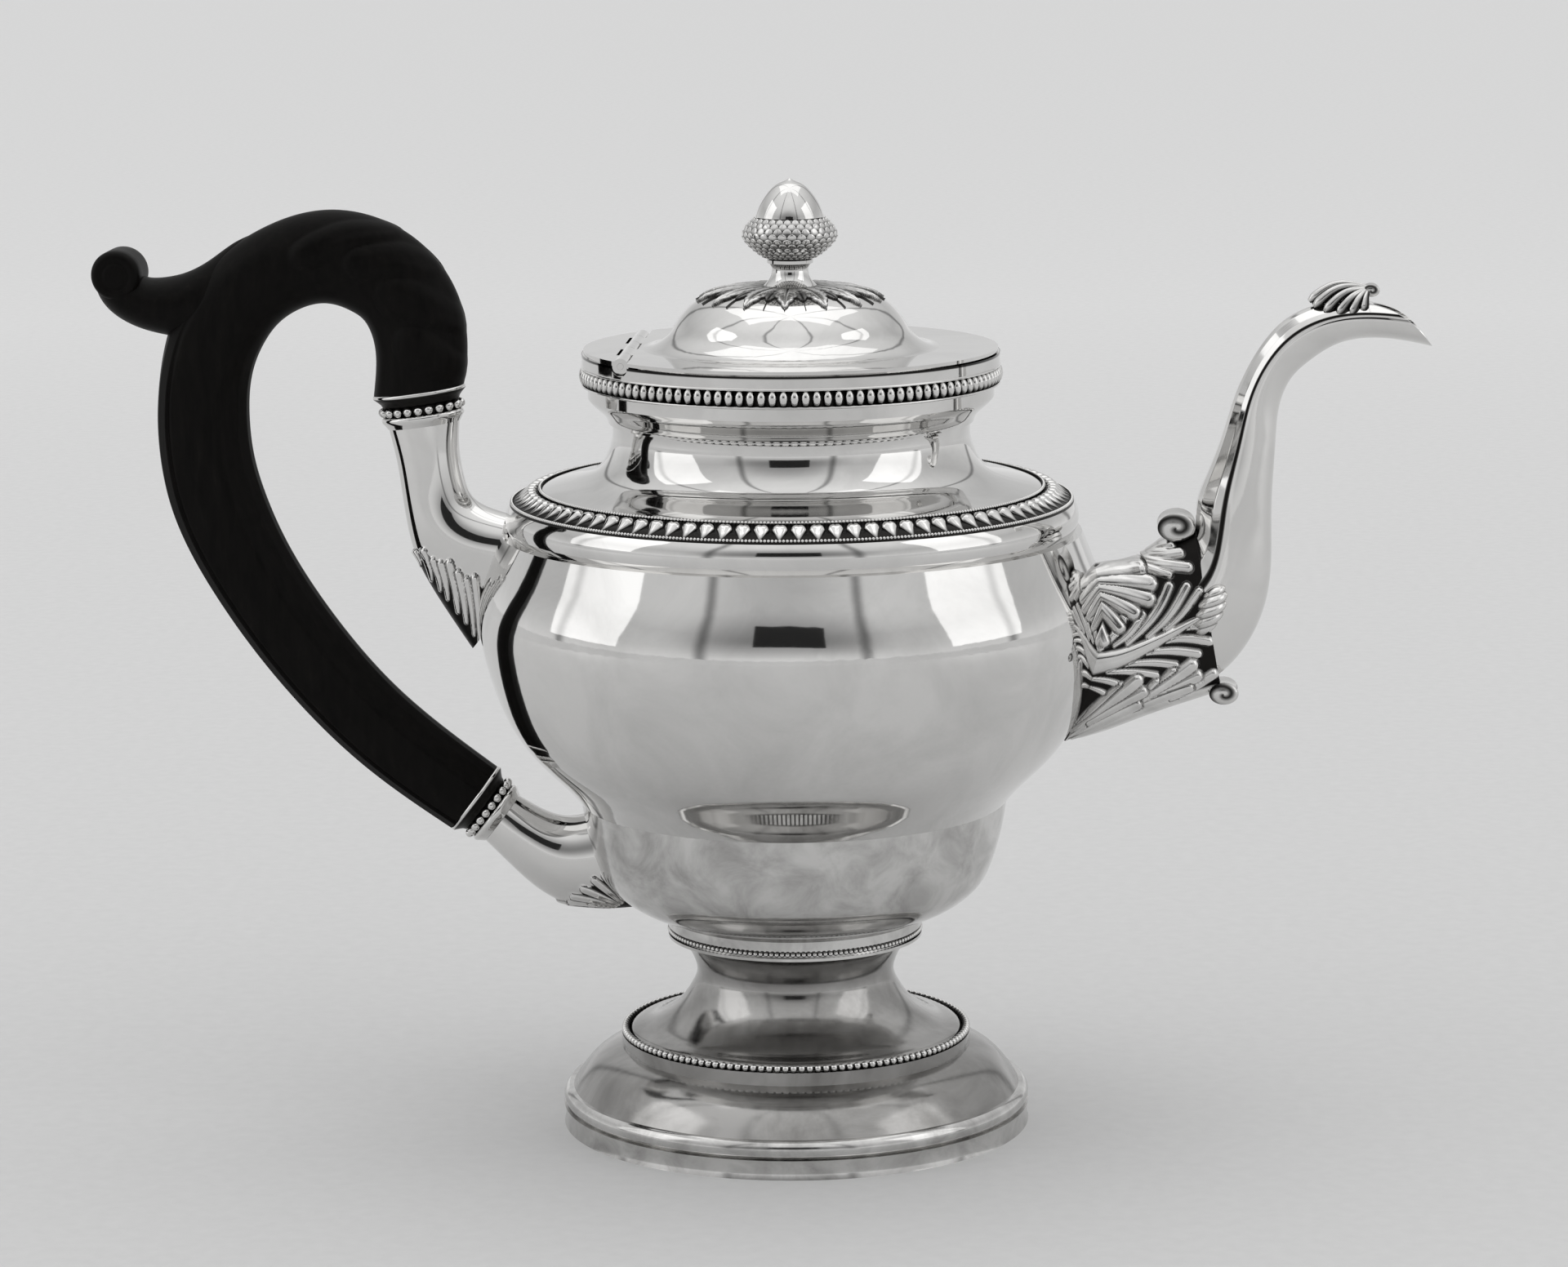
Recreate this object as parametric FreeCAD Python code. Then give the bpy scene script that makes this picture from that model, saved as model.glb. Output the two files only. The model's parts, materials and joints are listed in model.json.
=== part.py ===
import FreeCAD, Part
import math
import os

# Pedestal teapot in silver sheet with cast mounts, a hinged lid and a carved wooden scroll handle.
# Millimetres, +Z up, origin on the pot's axis at the table, spout towards +X, handle towards -X.

V = FreeCAD.Vector

# Stock and clearances
WALL = 0.8                  # raised sheet of the vessel, foot and lid
RIM_WALL = 1.4              # heavier sheet of the moulding under the rim
CAST_WALL = 1.2             # wall of the seamed spout
LID_GAP = 0.3               # lid plate above its seat on the rim
HINGE_GAP = 0.15            # round and between the knuckles
PIN_FIT = 0.03              # radial running fit of the hinge pin
TENON_FIT = 0.05            # wood in its sockets

# Foot, from the table up
FOOT_R = 57.6
FOOT_RIM_W = 3.6
FOOT_BAND_H = 4.75
FOOT_BAND_HOLLOW = 0.4
FOOT_GROOVE = 1.3
FOOT_TORUS_H = 4.5
FOOT_DOME_H = 9.95
FOOT_LEDGE = 2.4            # dome set in from the foot's outer edge
STEP_R = 43.1
STEP_H = 3.2
FOOT_BEAD_R = 0.85

# Pedestal and collar
PEDESTAL_R = 41.2
PEDESTAL_H = 24.5
STEM_R = 24.3
STEM_RISE = 15.2            # height of the narrowest place above the step
STEM_TOP_R = 30.2
COLLAR_R = 31.3
COLLAR_H = 5.5
COLLAR_BORE_R = 27.5
COLLAR_FILLET_H = 0.7
COLLAR_GROOVE_H = 1.9
COLLAR_GROOVE = 1.0
STEM_BEAD_R = 0.62

# Vessel
BOWL_FLAT_R = 30.6
BOWL_H = 28.6
WAIST_R = 52.2
BODY_H = 66.5
BODY_R = 76.6
BODY_RISE = 46.5            # widest place above the waist
BODY_TOP_R = 70.6

# Shoulder
MOULDING_R = 69.8
MOULDING_H = 7.4
MOULDING_SET = 1.2          # ends of the half round, inside its widest radius
MOULDING_BORE_R = 66.5
BAND_IN_R = 60.8
BAND_RISE = 3.2
BAND_T = 0.6
TONGUE_PITCH = 4.36
TONGUE_R = 1.55
TONGUE_TIP_R = 0.25
TONGUE_L = 5.2
MILLED_R = 0.4

# Neck and rim
NECK_H = 16.1
NECK_R = 43.4
NECK_TOP_R = 43.8
OVOLO_H = 9.0
OVOLO_FOOT_R = 44.4
OVOLO_R = 49.3
OVOLO_BAND_H = 3.0
RIM_BEAD_H = 4.9
RIM_FILLET = 0.6
RIM_FILLET_R = 50.9
RIM_RECESS_R = 50.0
RIM_BEAD_R = 1.15
RIM_BEAD_L = 3.25
RIM_BEAD_PITCH = 2.63
RIM_BAND_H = 2.8
RIM_BAND_R = 50.7

# Hinge on a chord of the rim
HINGE_X = 38.7              # distance of the hinge line from the axis
KNUCKLE_R = 1.9
KNUCKLES = 5
PIN_R = 0.75
HINGE_DROP = 0.2            # hinge line below the lid's seat

# Lid and finial
LID_R = 50.2
LID_FLAT_R = 36.0
LID_WALL_R = 27.8
LID_H = 14.5
LID_CROWN_R = 8.0
BEZEL_GAP = 0.8
BEZEL_DEPTH = 5.0
BEZEL_CUT = 4.5             # bezel set back from the hinge line
CALYX_R = 22.4
CALYX_NOTCH_R = 15.5
CALYX_IN_R = 7.2
CALYX_T = 0.9
CALYX_LEAVES = 14
STEM_FOOT_R = 7.0
FINIAL_STEM_H = 6.7
FINIAL_NECK_R = 4.4
CUP_FOOT_R = 5.6
CUP_R = 11.7
CUP_H = 10.3
ACORN_R = 8.2
ACORN_H = 9.3
STUD_R = 1.5
STUD_L = 4.6
NUT_R = 3.6
NUT_H = 2.6

# Spout
SPOUT_ROOT_RISE = 37.0      # middle of its root above the waist
STRAINER_HOLE_R = 1.3
STRAINER_PITCH = 5.0
STRAINER_R = 11.0
SCROLL_R = 3.2
SCROLL_L = 11.0
SHELL_RIBS = 7
SHELL_L = 14.0
SHELL_W = 9.0
SHELL_RIB_R = 1.25

# Handle
HANDLE_OUT = 14.25          # upper ferrule's seat, out from the vessel's side
HANDLE_UP = 34.5            # and up from the vessel's shoulder edge
HANDLE_W = 16.5
THUMB_W = 15.0
EYE_R = 3.9
TENON_L = 12.0
TENON_SHOULDER = 5.6        # wood left in front of and behind a tenon
TENON_CHEEK = 4.2           # and at its sides
FERRULE_L = 8.6
SOCKET_SET = 2.4            # socket's lip inside the wood's outline
HANDLE_PIN_R = 0.8
PIN_DEPTH = 4.5             # pins below the ferrules

# Levels, each from the one below it
Z_BAND = FOOT_BAND_H
Z_FOOT = Z_BAND + FOOT_TORUS_H
Z_DOME = Z_FOOT + FOOT_DOME_H
Z_STEP = Z_DOME + STEP_H
Z_STEM = Z_STEP + PEDESTAL_H
Z_BOWL = Z_STEM + COLLAR_H
Z_WAIST = Z_BOWL + BOWL_H
Z_SHOULDER = Z_WAIST + BODY_H
Z_SEAT_OUT = Z_SHOULDER + MOULDING_H
Z_SEAT_IN = Z_SEAT_OUT + BAND_RISE
Z_PLATE = Z_SEAT_IN + BAND_T
Z_NECK = Z_PLATE + NECK_H
Z_OVOLO = Z_NECK + OVOLO_H
Z_BEADS = Z_OVOLO + RIM_BEAD_H
Z_RIM = Z_BEADS + RIM_BAND_H
Z_LID = Z_RIM + LID_GAP
Z_CROWN = Z_LID + WALL + LID_H
Z_CUP = Z_CROWN + FINIAL_STEM_H
Z_ACORN = Z_CUP + CUP_H
RIM_BORE_R = OVOLO_R - RIM_WALL
Z_HINGE = Z_RIM - HINGE_DROP


# Drawing helpers
def on_plane(point):
    return V(point[0], 0, point[1])


def spline(points):
    curve = Part.BSplineCurve()
    curve.interpolate(Points=[on_plane(point) for point in points])
    return curve


def between(low, high, shares):
    """Points at given shares of the way from low to high, both ends included."""
    inner = [(low[0] + a * (high[0] - low[0]), low[1] + b * (high[1] - low[1])) for a, b in shares]
    return [low] + inner + [high]


def edges_of(*steps):
    """Lines through points; a list of two points is an arc's middle and end."""
    edges = []
    here = steps[0]
    for step in steps[1:]:
        if isinstance(step, list):
            edges.append(Part.Arc(on_plane(here), on_plane(step[0]), on_plane(step[1])).toShape())
            here = step[1]
        else:
            edges.append(Part.makeLine(on_plane(here), on_plane(step)))
            here = step
    return edges


def revolve(edges):
    face = Part.Face(Part.Wire(edges))
    solid = face.revolve(V(0, 0, 0), V(0, 0, 1), 360)
    return positive(solid)


def positive(shape):
    """The same solid with its faces turned outwards."""
    if shape.Volume > 0:
        return shape
    return Part.Solid(shape.Shells[0].reversed())


def ring(*steps):
    """Solid of revolution from an outline that closes on its first point."""
    return revolve(edges_of(*steps, steps[0]))


def offset_points(points, distance):
    """Points set off to the left of the way they run."""
    curve = spline(points)
    moved = []
    for point in points:
        along = curve.tangent(curve.parameter(on_plane(point)))[0]
        moved.append((point[0] - along.z * distance, point[1] + along.x * distance))
    return moved


def sheet(points, wall):
    """Revolved sheet with its outside on the points, listed upwards, and level cut ends."""
    inside = offset_points(points, wall)
    inside[0] = (points[0][0] - wall, points[0][1])
    inside[-1] = (points[-1][0] - wall, points[-1][1])
    outer = spline(points).toShape()
    inner = spline(inside).toShape()
    foot = Part.makeLine(on_plane(inside[0]), on_plane(points[0]))
    head = Part.makeLine(on_plane(points[-1]), on_plane(inside[-1]))
    return revolve([foot, outer, head, inner])


def round_z(shape, angle):
    copy = shape.copy()
    copy.rotate(V(0, 0, 0), V(0, 0, 1), angle)
    return copy


def polar(shape, count):
    return [round_z(shape, i * 360.0 / count) for i in range(count)]


def count_round(radius, pitch):
    return int(round(2 * math.pi * radius / pitch))


def oval(upper, lower, half_width):
    """Closed oval in a plane square to XZ, from its ends in XZ and its half width in Y."""
    middle = (on_plane(upper) + on_plane(lower)) * 0.5
    reach = on_plane(upper) - middle
    halves = []
    for side in (1, -1):
        points = []
        for i in range(7):
            turn = math.pi * i / 6
            points.append(middle + reach * (side * math.cos(turn)) - V(0, side * half_width * math.sin(turn), 0))
        curve = Part.BSplineCurve()
        curve.interpolate(Points=points, InitialTangent=V(0, -side, 0), FinalTangent=V(0, side, 0))
        halves.append(curve.toShape())
    return Part.Wire(halves)


def inset(section, wall):
    upper, lower, half_width = section
    across = on_plane(lower) - on_plane(upper)
    across.multiply(wall / across.Length)
    return ((upper[0] + across.x, upper[1] + across.z), (lower[0] - across.x, lower[1] - across.z),
            half_width - wall)


def eased(sections):
    """The sections with another one between each two, on smooth curves through their ends."""
    ends = [spline([section[side] for section in sections]) for side in (0, 1)]
    full = []
    for first, second in zip(sections, sections[1:]):
        points = []
        for side in (0, 1):
            places = [ends[side].parameter(on_plane(section[side])) for section in (first, second)]
            point = ends[side].value(sum(places) / 2)
            points.append((point.x, point.z))
        full += [first, (points[0], points[1], (first[2] + second[2]) / 2)]
    return full + [sections[-1]]


def ruled(sections):
    """Solid with straight sides between oval sections."""
    return positive(Part.makeLoft([oval(*section) for section in sections], True, True))


# Profiles shared by the sheets and by what is cut to fit them
bowl_curve = between((BOWL_FLAT_R, Z_BOWL), (WAIST_R, Z_WAIST),
                     [(0.30, 0.06), (0.47, 0.125), (0.62, 0.21), (0.74, 0.31), (0.83, 0.45),
                      (0.91, 0.64), (0.97, 0.84)])
body_low = between((WAIST_R, Z_WAIST), (BODY_R, Z_WAIST + BODY_RISE),
                   [(0.10, 0.065), (0.24, 0.14), (0.39, 0.215), (0.55, 0.31), (0.71, 0.44),
                    (0.85, 0.61), (0.955, 0.80)])
body_high = between((BODY_R, Z_WAIST + BODY_RISE), (BODY_TOP_R, Z_SHOULDER), [(0.20, 0.37), (0.56, 0.67)])
body_curve = body_low + body_high[1:]


def pot_core():
    """Outside of the vessel and its moulding filled to the axis, to cut the mounts against."""
    edges = edges_of((0, Z_BOWL), (BOWL_FLAT_R, Z_BOWL))
    edges.append(spline(bowl_curve).toShape())
    edges.append(spline(body_curve).toShape())
    half_round = [(MOULDING_R, Z_SHOULDER + MOULDING_H / 2), (MOULDING_R - MOULDING_SET, Z_SEAT_OUT)]
    edges += edges_of((BODY_TOP_R, Z_SHOULDER), (MOULDING_R - MOULDING_SET, Z_SHOULDER), half_round,
                      (0, Z_SEAT_OUT), (0, Z_BOWL))
    return revolve(edges)


# Foot
def make_foot_rim():
    inside = FOOT_R - FOOT_RIM_W
    neck = FOOT_R - FOOT_GROOVE
    return ring((inside, 0), (FOOT_R, 0), [(FOOT_R - FOOT_BAND_HOLLOW, Z_BAND / 2), (FOOT_R, Z_BAND)],
                (neck, Z_BAND), [(FOOT_R, (Z_BAND + Z_FOOT) / 2), (neck, Z_FOOT)], (inside, Z_FOOT))


def make_foot_dome():
    low = (FOOT_R - FOOT_LEDGE, Z_FOOT)
    high = (STEP_R, Z_DOME)
    ogee = between(low, high, [(0.083, 0.16), (0.22, 0.39), (0.41, 0.64), (0.63, 0.82), (0.83, 0.93)])
    under = offset_points(ogee, WALL)
    under[0] = (low[0] - WALL, Z_FOOT)
    under[-1] = (STEP_R - WALL, Z_DOME - WALL)
    lip = PEDESTAL_R - 2 * WALL
    edges = [spline(ogee).toShape()]
    edges += edges_of(high, (STEP_R, Z_STEP), (lip, Z_STEP), (lip, Z_STEP - WALL),
                      (STEP_R - WALL, Z_STEP - WALL), under[-1])
    edges.append(spline(under).toShape())
    edges += edges_of(under[0], low)
    return revolve(edges)


def make_pedestal():
    narrow = (STEM_R, Z_STEP + STEM_RISE)
    low = between((PEDESTAL_R, Z_STEP), narrow,
                  [(0.02, 0.07), (0.22, 0.145), (0.46, 0.26), (0.66, 0.41), (0.83, 0.61), (0.93, 0.79)])
    high = between(narrow, (STEM_TOP_R, Z_STEM), [(0.12, 0.39), (0.37, 0.69), (0.70, 0.89)])
    return sheet(low + high[1:], WALL)


def make_stem_collar():
    fillet = Z_STEM + COLLAR_FILLET_H
    groove = fillet + COLLAR_GROOVE_H
    neck = COLLAR_R - COLLAR_GROOVE
    return ring((COLLAR_BORE_R, Z_STEM), (COLLAR_R, Z_STEM), (COLLAR_R, fillet), (neck, fillet), (neck, groove),
                (COLLAR_R, groove), (COLLAR_R, Z_BOWL - COLLAR_FILLET_H), (BOWL_FLAT_R, Z_BOWL),
                (COLLAR_BORE_R, Z_BOWL))


# Vessel
def make_lower_bowl():
    inside = offset_points(bowl_curve, WALL)
    inside[0] = (BOWL_FLAT_R, Z_BOWL + WALL)
    inside[-1] = (WAIST_R - WALL, Z_WAIST)
    edges = edges_of((0, Z_BOWL), bowl_curve[0])
    edges.append(spline(bowl_curve).toShape())
    edges += edges_of(bowl_curve[-1], inside[-1])
    edges.append(spline(inside).toShape())
    edges += edges_of(inside[0], (0, Z_BOWL + WALL), (0, Z_BOWL))
    return revolve(edges)


def make_upper_body():
    """Upper vessel with its top turned in, pierced with a strainer of small holes behind the spout."""
    inside = offset_points(body_curve, WALL)
    inside[0] = (WAIST_R - WALL, Z_WAIST)
    inside[-1] = (BODY_TOP_R - WALL, Z_SHOULDER - WALL)
    edges = edges_of(inside[0], body_curve[0])
    edges.append(spline(body_curve).toShape())
    edges += edges_of(body_curve[-1], (MOULDING_BORE_R, Z_SHOULDER), (MOULDING_BORE_R, Z_SHOULDER - WALL), inside[-1])
    edges.append(spline(inside).toShape())
    shell = revolve(edges)
    middle = Z_WAIST + SPOUT_ROOT_RISE
    holes = []
    rows = int(STRAINER_R / STRAINER_PITCH)
    for row in range(-rows, rows + 1):
        for column in range(-rows, rows + 1):
            across = (column + 0.5 * (row % 2)) * STRAINER_PITCH
            up = row * STRAINER_PITCH * math.sqrt(0.75)
            if math.hypot(across, up) + STRAINER_HOLE_R < STRAINER_R:
                holes.append(Part.makeCylinder(STRAINER_HOLE_R, BODY_R, V(WAIST_R, across, middle + up), V(1, 0, 0)))
    return shell.cut(holes)


# Shoulder and neck
def make_shoulder_moulding():
    edge = MOULDING_R - MOULDING_SET
    return ring((MOULDING_BORE_R, Z_SHOULDER), (edge, Z_SHOULDER),
                [(MOULDING_R, Z_SHOULDER + MOULDING_H / 2), (edge, Z_SEAT_OUT)],
                (BAND_IN_R, Z_SEAT_IN), (BAND_IN_R, Z_SEAT_IN - 2 * WALL), (MOULDING_BORE_R, Z_SEAT_OUT - 2 * WALL))


def make_shoulder_band():
    """Tapering tongues between two milled wires, on a sloping band."""
    edge = MOULDING_R - MOULDING_SET
    band = ring((edge, Z_SEAT_OUT), (edge, Z_SEAT_OUT + BAND_T), (BAND_IN_R, Z_SEAT_IN + BAND_T),
                (BAND_IN_R, Z_SEAT_IN))
    wires = [Part.makeTorus(edge - MILLED_R, MILLED_R, V(0, 0, Z_SEAT_OUT + BAND_T)),
             Part.makeTorus(BAND_IN_R + MILLED_R, MILLED_R, V(0, 0, Z_SEAT_IN + BAND_T))]
    slope = V(BAND_IN_R - edge, 0, BAND_RISE)
    length = slope.Length
    slope.normalize()
    start = V(edge, 0, Z_SEAT_OUT + BAND_T) + slope * (length - TONGUE_L - TONGUE_R) * 0.6
    cone = Part.makeCone(TONGUE_TIP_R, TONGUE_R, TONGUE_L - TONGUE_R, start, slope)
    head = Part.makeCone(TONGUE_R, TONGUE_R / 2, TONGUE_R / 2, start + slope * (TONGUE_L - TONGUE_R), slope)
    half = BAND_T / 2
    ground = ring((edge, Z_SEAT_OUT + half), (BAND_IN_R, Z_SEAT_IN + half), (BAND_IN_R, Z_SEAT_OUT - TONGUE_R),
                  (edge, Z_SEAT_OUT - TONGUE_R))
    tongue = cone.fuse(head).cut(ground)
    middle_r = (edge + BAND_IN_R) / 2
    return band.multiFuse(wires + polar(tongue, count_round(middle_r, TONGUE_PITCH)))


def make_shoulder_neck():
    narrow = (NECK_R, Z_PLATE + 0.8 * NECK_H)
    curve = between((BAND_IN_R, Z_PLATE), narrow,
                    [(0.28, 0.10), (0.56, 0.20), (0.75, 0.32), (0.87, 0.50), (0.95, 0.73)])
    curve.append((NECK_TOP_R, Z_NECK))
    inside = offset_points(curve, WALL)
    inside[0] = (BAND_IN_R, Z_PLATE - WALL)
    inside[-1] = (NECK_TOP_R - WALL, Z_NECK)
    edges = [spline(curve).toShape()]
    edges += edges_of(curve[-1], inside[-1])
    edges.append(spline(inside).toShape())
    edges += edges_of(inside[0], curve[0])
    return revolve(edges)


def make_rim_ovolo():
    band = Z_OVOLO - OVOLO_BAND_H
    outside = between((OVOLO_FOOT_R, Z_NECK), (OVOLO_R, band), [(0.24, 0.38), (0.60, 0.64)])
    inside = offset_points(outside, RIM_WALL)
    inside[0] = (OVOLO_FOOT_R - RIM_WALL, Z_NECK)
    inside[-1] = (OVOLO_R - RIM_WALL, band + RIM_WALL)
    edges = [spline(outside).toShape()]
    edges += edges_of(outside[-1], (OVOLO_R, Z_OVOLO), (RIM_BORE_R, Z_OVOLO), inside[-1])
    edges.append(spline(inside).toShape())
    edges += edges_of(inside[0], outside[0])
    return revolve(edges)


def make_rim_beads():
    """Row of upright beads between two fillets."""
    low = Z_OVOLO + RIM_FILLET
    high = Z_BEADS - RIM_FILLET
    band = ring((RIM_BORE_R, Z_OVOLO), (RIM_FILLET_R, Z_OVOLO), (RIM_FILLET_R, low), (RIM_RECESS_R, low),
                (RIM_RECESS_R, high), (RIM_FILLET_R, high), (RIM_FILLET_R, Z_BEADS), (RIM_BORE_R, Z_BEADS))
    half = RIM_BEAD_L / 2
    middle = V(RIM_FILLET_R, 0, (low + high) / 2)
    ends = [Part.makeCone(RIM_BEAD_R, RIM_BEAD_R / 2, half, middle, V(0, 0, way)) for way in (1, -1)]
    bead = ends[0].fuse(ends[1])
    return band.multiFuse(polar(bead, count_round(RIM_FILLET_R, RIM_BEAD_PITCH)))


def make_rim_band():
    """Plain mouth band, notched where the hinge crosses it."""
    band = ring((RIM_BORE_R, Z_BEADS), (RIM_BAND_R, Z_BEADS), (RIM_BAND_R, Z_RIM), (RIM_BORE_R, Z_RIM))
    reach = KNUCKLE_R + HINGE_GAP
    notch = Part.makeCylinder(reach, 2 * RIM_BAND_R, V(-HINGE_X, -RIM_BAND_R, Z_HINGE), V(0, 1, 0))
    slot = Part.makeBox(2 * reach, 2 * RIM_BAND_R, RIM_BAND_H, V(-HINGE_X - reach, -RIM_BAND_R, Z_HINGE))
    return band.cut([notch, slot])


# Hinge
def lid_disc(low, high):
    return Part.makeCylinder(LID_R, high - low, V(0, 0, low))


def half_chord():
    return math.sqrt(LID_R ** 2 - (HINGE_X + KNUCKLE_R) ** 2)


def knuckles(moving):
    """Every other knuckle of the barrel, each with a leaf up to its own plate."""
    half = half_chord()
    pitch = 2 * half / KNUCKLES
    bottom = Z_LID if moving else Z_RIM
    solids = []
    for i in range(KNUCKLES):
        if (i % 2 == 1) != moving:
            continue
        start = -half + i * pitch + HINGE_GAP / 2
        length = pitch - HINGE_GAP
        barrel = Part.makeCylinder(KNUCKLE_R, length, V(-HINGE_X, start, Z_HINGE), V(0, 1, 0))
        reach = KNUCKLE_R + HINGE_GAP
        left = -HINGE_X if moving else -HINGE_X - reach
        leaf = Part.makeBox(reach, length, Z_LID + WALL - bottom, V(left, start, bottom))
        bore = Part.makeCylinder(PIN_R + PIN_FIT, length, V(-HINGE_X, start, Z_HINGE), V(0, 1, 0))
        solids.append(barrel.fuse(leaf).cut(bore).removeSplitter())
    return Part.makeCompound(solids)


def make_hinge_deck():
    """Fixed segment of the top behind the hinge."""
    disc = lid_disc(Z_RIM, Z_LID + WALL)
    edge = -HINGE_X - KNUCKLE_R - HINGE_GAP
    keep = Part.makeBox(2 * LID_R, 4 * LID_R, 2 * LID_R, V(edge - 2 * LID_R, -2 * LID_R, Z_RIM - LID_R))
    return disc.common(keep)


def make_hinge_pin():
    half = half_chord()
    return Part.makeCylinder(PIN_R, 2 * half, V(-HINGE_X, -half, Z_HINGE), V(0, 1, 0))


# Lid and finial
def lid_outline():
    top = Z_LID + WALL
    cove = between((LID_FLAT_R, top), (LID_WALL_R, top + 0.41 * LID_H),
                   [(0.37, 0.12), (0.66, 0.38), (0.88, 0.70)])
    dome = between((LID_WALL_R, top + 0.41 * LID_H), (LID_CROWN_R, Z_CROWN),
                   [(0.08, 0.26), (0.18, 0.50), (0.33, 0.72), (0.58, 0.91)])
    return cove + dome[1:]


def lid_body(gap, wall):
    """Sheet that follows the lid at a distance above its outside."""
    outside = offset_points(lid_outline(), -gap)
    outside[0] = (LID_FLAT_R, Z_LID + WALL + gap)
    outside[-1] = (LID_CROWN_R, Z_CROWN + gap)
    inside = offset_points(lid_outline(), wall)
    inside[0] = (LID_FLAT_R, Z_LID + WALL - wall)
    inside[-1] = (LID_CROWN_R, Z_CROWN - wall)
    edges = edges_of((LID_R, inside[0][1]), (LID_R, outside[0][1]), outside[0])
    edges.append(spline(outside).toShape())
    edges += edges_of(outside[-1], (0, outside[-1][1]), (0, inside[-1][1]), inside[-1])
    edges.append(spline(inside).toShape())
    edges += edges_of(inside[0], (LID_R, inside[0][1]))
    return revolve(edges)


def ahead_of(x):
    size = 4 * LID_R
    return Part.makeBox(size, size, size, V(x, -size / 2, Z_RIM - size / 2))


def make_lid():
    stud_hole = Part.makeCylinder(STUD_R + TENON_FIT, LID_H, V(0, 0, Z_CROWN - LID_H / 2))
    return lid_body(0, WALL).common(ahead_of(-HINGE_X + KNUCKLE_R + HINGE_GAP)).cut(stud_hole)


def make_lid_bezel():
    outside = RIM_BORE_R - BEZEL_GAP
    low = Z_LID - BEZEL_DEPTH
    band = ring((outside - WALL, low), (outside, low), (outside, Z_LID), (outside - WALL, Z_LID))
    return band.common(ahead_of(-HINGE_X + BEZEL_CUT))


def make_calyx():
    """Rosette of pointed leaves lying on the lid's dome."""
    layer = lid_body(CALYX_T, 0)
    edges = []
    step = 2 * math.pi / CALYX_LEAVES
    at = lambda r, turn: V(r * math.cos(turn), r * math.sin(turn), Z_LID)
    for i in range(CALYX_LEAVES):
        mid = i * step
        tip = at(CALYX_R, mid)
        bulge = CALYX_NOTCH_R + 0.55 * (CALYX_R - CALYX_NOTCH_R)
        edges.append(Part.Arc(at(CALYX_NOTCH_R, mid - step / 2), at(bulge, mid - 0.28 * step), tip).toShape())
        edges.append(Part.Arc(tip, at(bulge, mid + 0.28 * step), at(CALYX_NOTCH_R, mid + step / 2)).toShape())
    rosette = Part.Face(Part.Wire(edges)).extrude(V(0, 0, 2 * LID_H))
    hole = Part.makeCylinder(CALYX_IN_R, 3 * LID_H, V(0, 0, Z_LID - LID_H))
    return layer.common(rosette).cut(hole)


def make_finial_stem():
    low = Z_CROWN
    edges = edges_of((0, low), (STEM_FOOT_R, low))
    waist = between((STEM_FOOT_R, low), (FINIAL_NECK_R, low + 0.62 * FINIAL_STEM_H), [(0.35, 0.18), (0.8, 0.55)])
    edges.append(spline(waist).toShape())
    edges += edges_of(waist[-1], [(FINIAL_NECK_R + 0.2, low + 0.75 * FINIAL_STEM_H),
                                  (CUP_FOOT_R, low + 0.88 * FINIAL_STEM_H)],
                      (CUP_FOOT_R, Z_CUP), (0, Z_CUP), (0, low))
    stem = revolve(edges)
    stud = Part.makeCylinder(STUD_R, STUD_L, V(0, 0, low - STUD_L))
    return stem.fuse(stud).removeSplitter()


def make_finial_cup():
    high = (ACORN_R + 0.6, Z_ACORN)
    wide = (CUP_R, Z_CUP + 0.57 * CUP_H)
    low = (CUP_FOOT_R, Z_CUP)
    side = between(low, wide, [(0.20, 0.10), (0.66, 0.46)]) + between(wide, high, [(0.25, 0.47)])[1:]
    edges = edges_of((0, Z_CUP), low)
    edges.append(spline(side).toShape())
    edges += edges_of(high, (0, Z_ACORN), (0, Z_CUP))
    return revolve(edges)


def make_finial_acorn():
    low = (ACORN_R, Z_ACORN)
    top = (0, Z_ACORN + ACORN_H)
    side = between(low, top, [(0.05, 0.17), (0.15, 0.36), (0.36, 0.63), (0.66, 0.86), (0.88, 0.94)])
    edges = edges_of((0, Z_ACORN), low)
    edges.append(spline(side).toShape())
    edges += edges_of(top, (0, Z_ACORN))
    return revolve(edges)


def make_finial_nut():
    high = Z_CROWN - WALL
    nut = Part.makeCylinder(NUT_R, NUT_H, V(0, 0, high - NUT_H))
    bore = Part.makeCylinder(STUD_R + TENON_FIT, NUT_H, V(0, 0, high - NUT_H))
    return nut.cut(bore)


# Spout, placed from the vessel's side and the level of its root
def spout_point(out, up):
    return (BODY_R + out, Z_WAIST + SPOUT_ROOT_RISE + up)


def spout_sections():
    """Upper end, lower end and half width of each section, from the vessel to the mouth."""
    places = [((-12.0, 19.0), (-18.0, -20.0), 11.6),
              ((7.4, 21.0), (9.4, -14.0), 10.8),
              ((20.4, 28.5), (30.4, -3.0), 9.6),
              ((21.6, 35.5), (38.7, 12.8), 8.6),
              ((23.7, 42.6), (39.8, 34.0), 7.7),
              ((28.0, 54.0), (40.6, 51.5), 6.3),
              ((30.9, 63.3), (41.4, 60.0), 5.6),
              ((34.9, 71.8), (43.9, 66.4), 5.3),
              ((41.9, 80.5), (48.7, 71.2), 5.4),
              ((51.4, 85.0), (55.2, 75.2), 5.8),
              ((64.4, 86.0), (65.9, 76.6), 6.2),
              ((79.4, 84.0), (79.6, 74.2), 5.4)]
    return eased([(spout_point(*upper), spout_point(*lower), half) for upper, lower, half in places])


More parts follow.
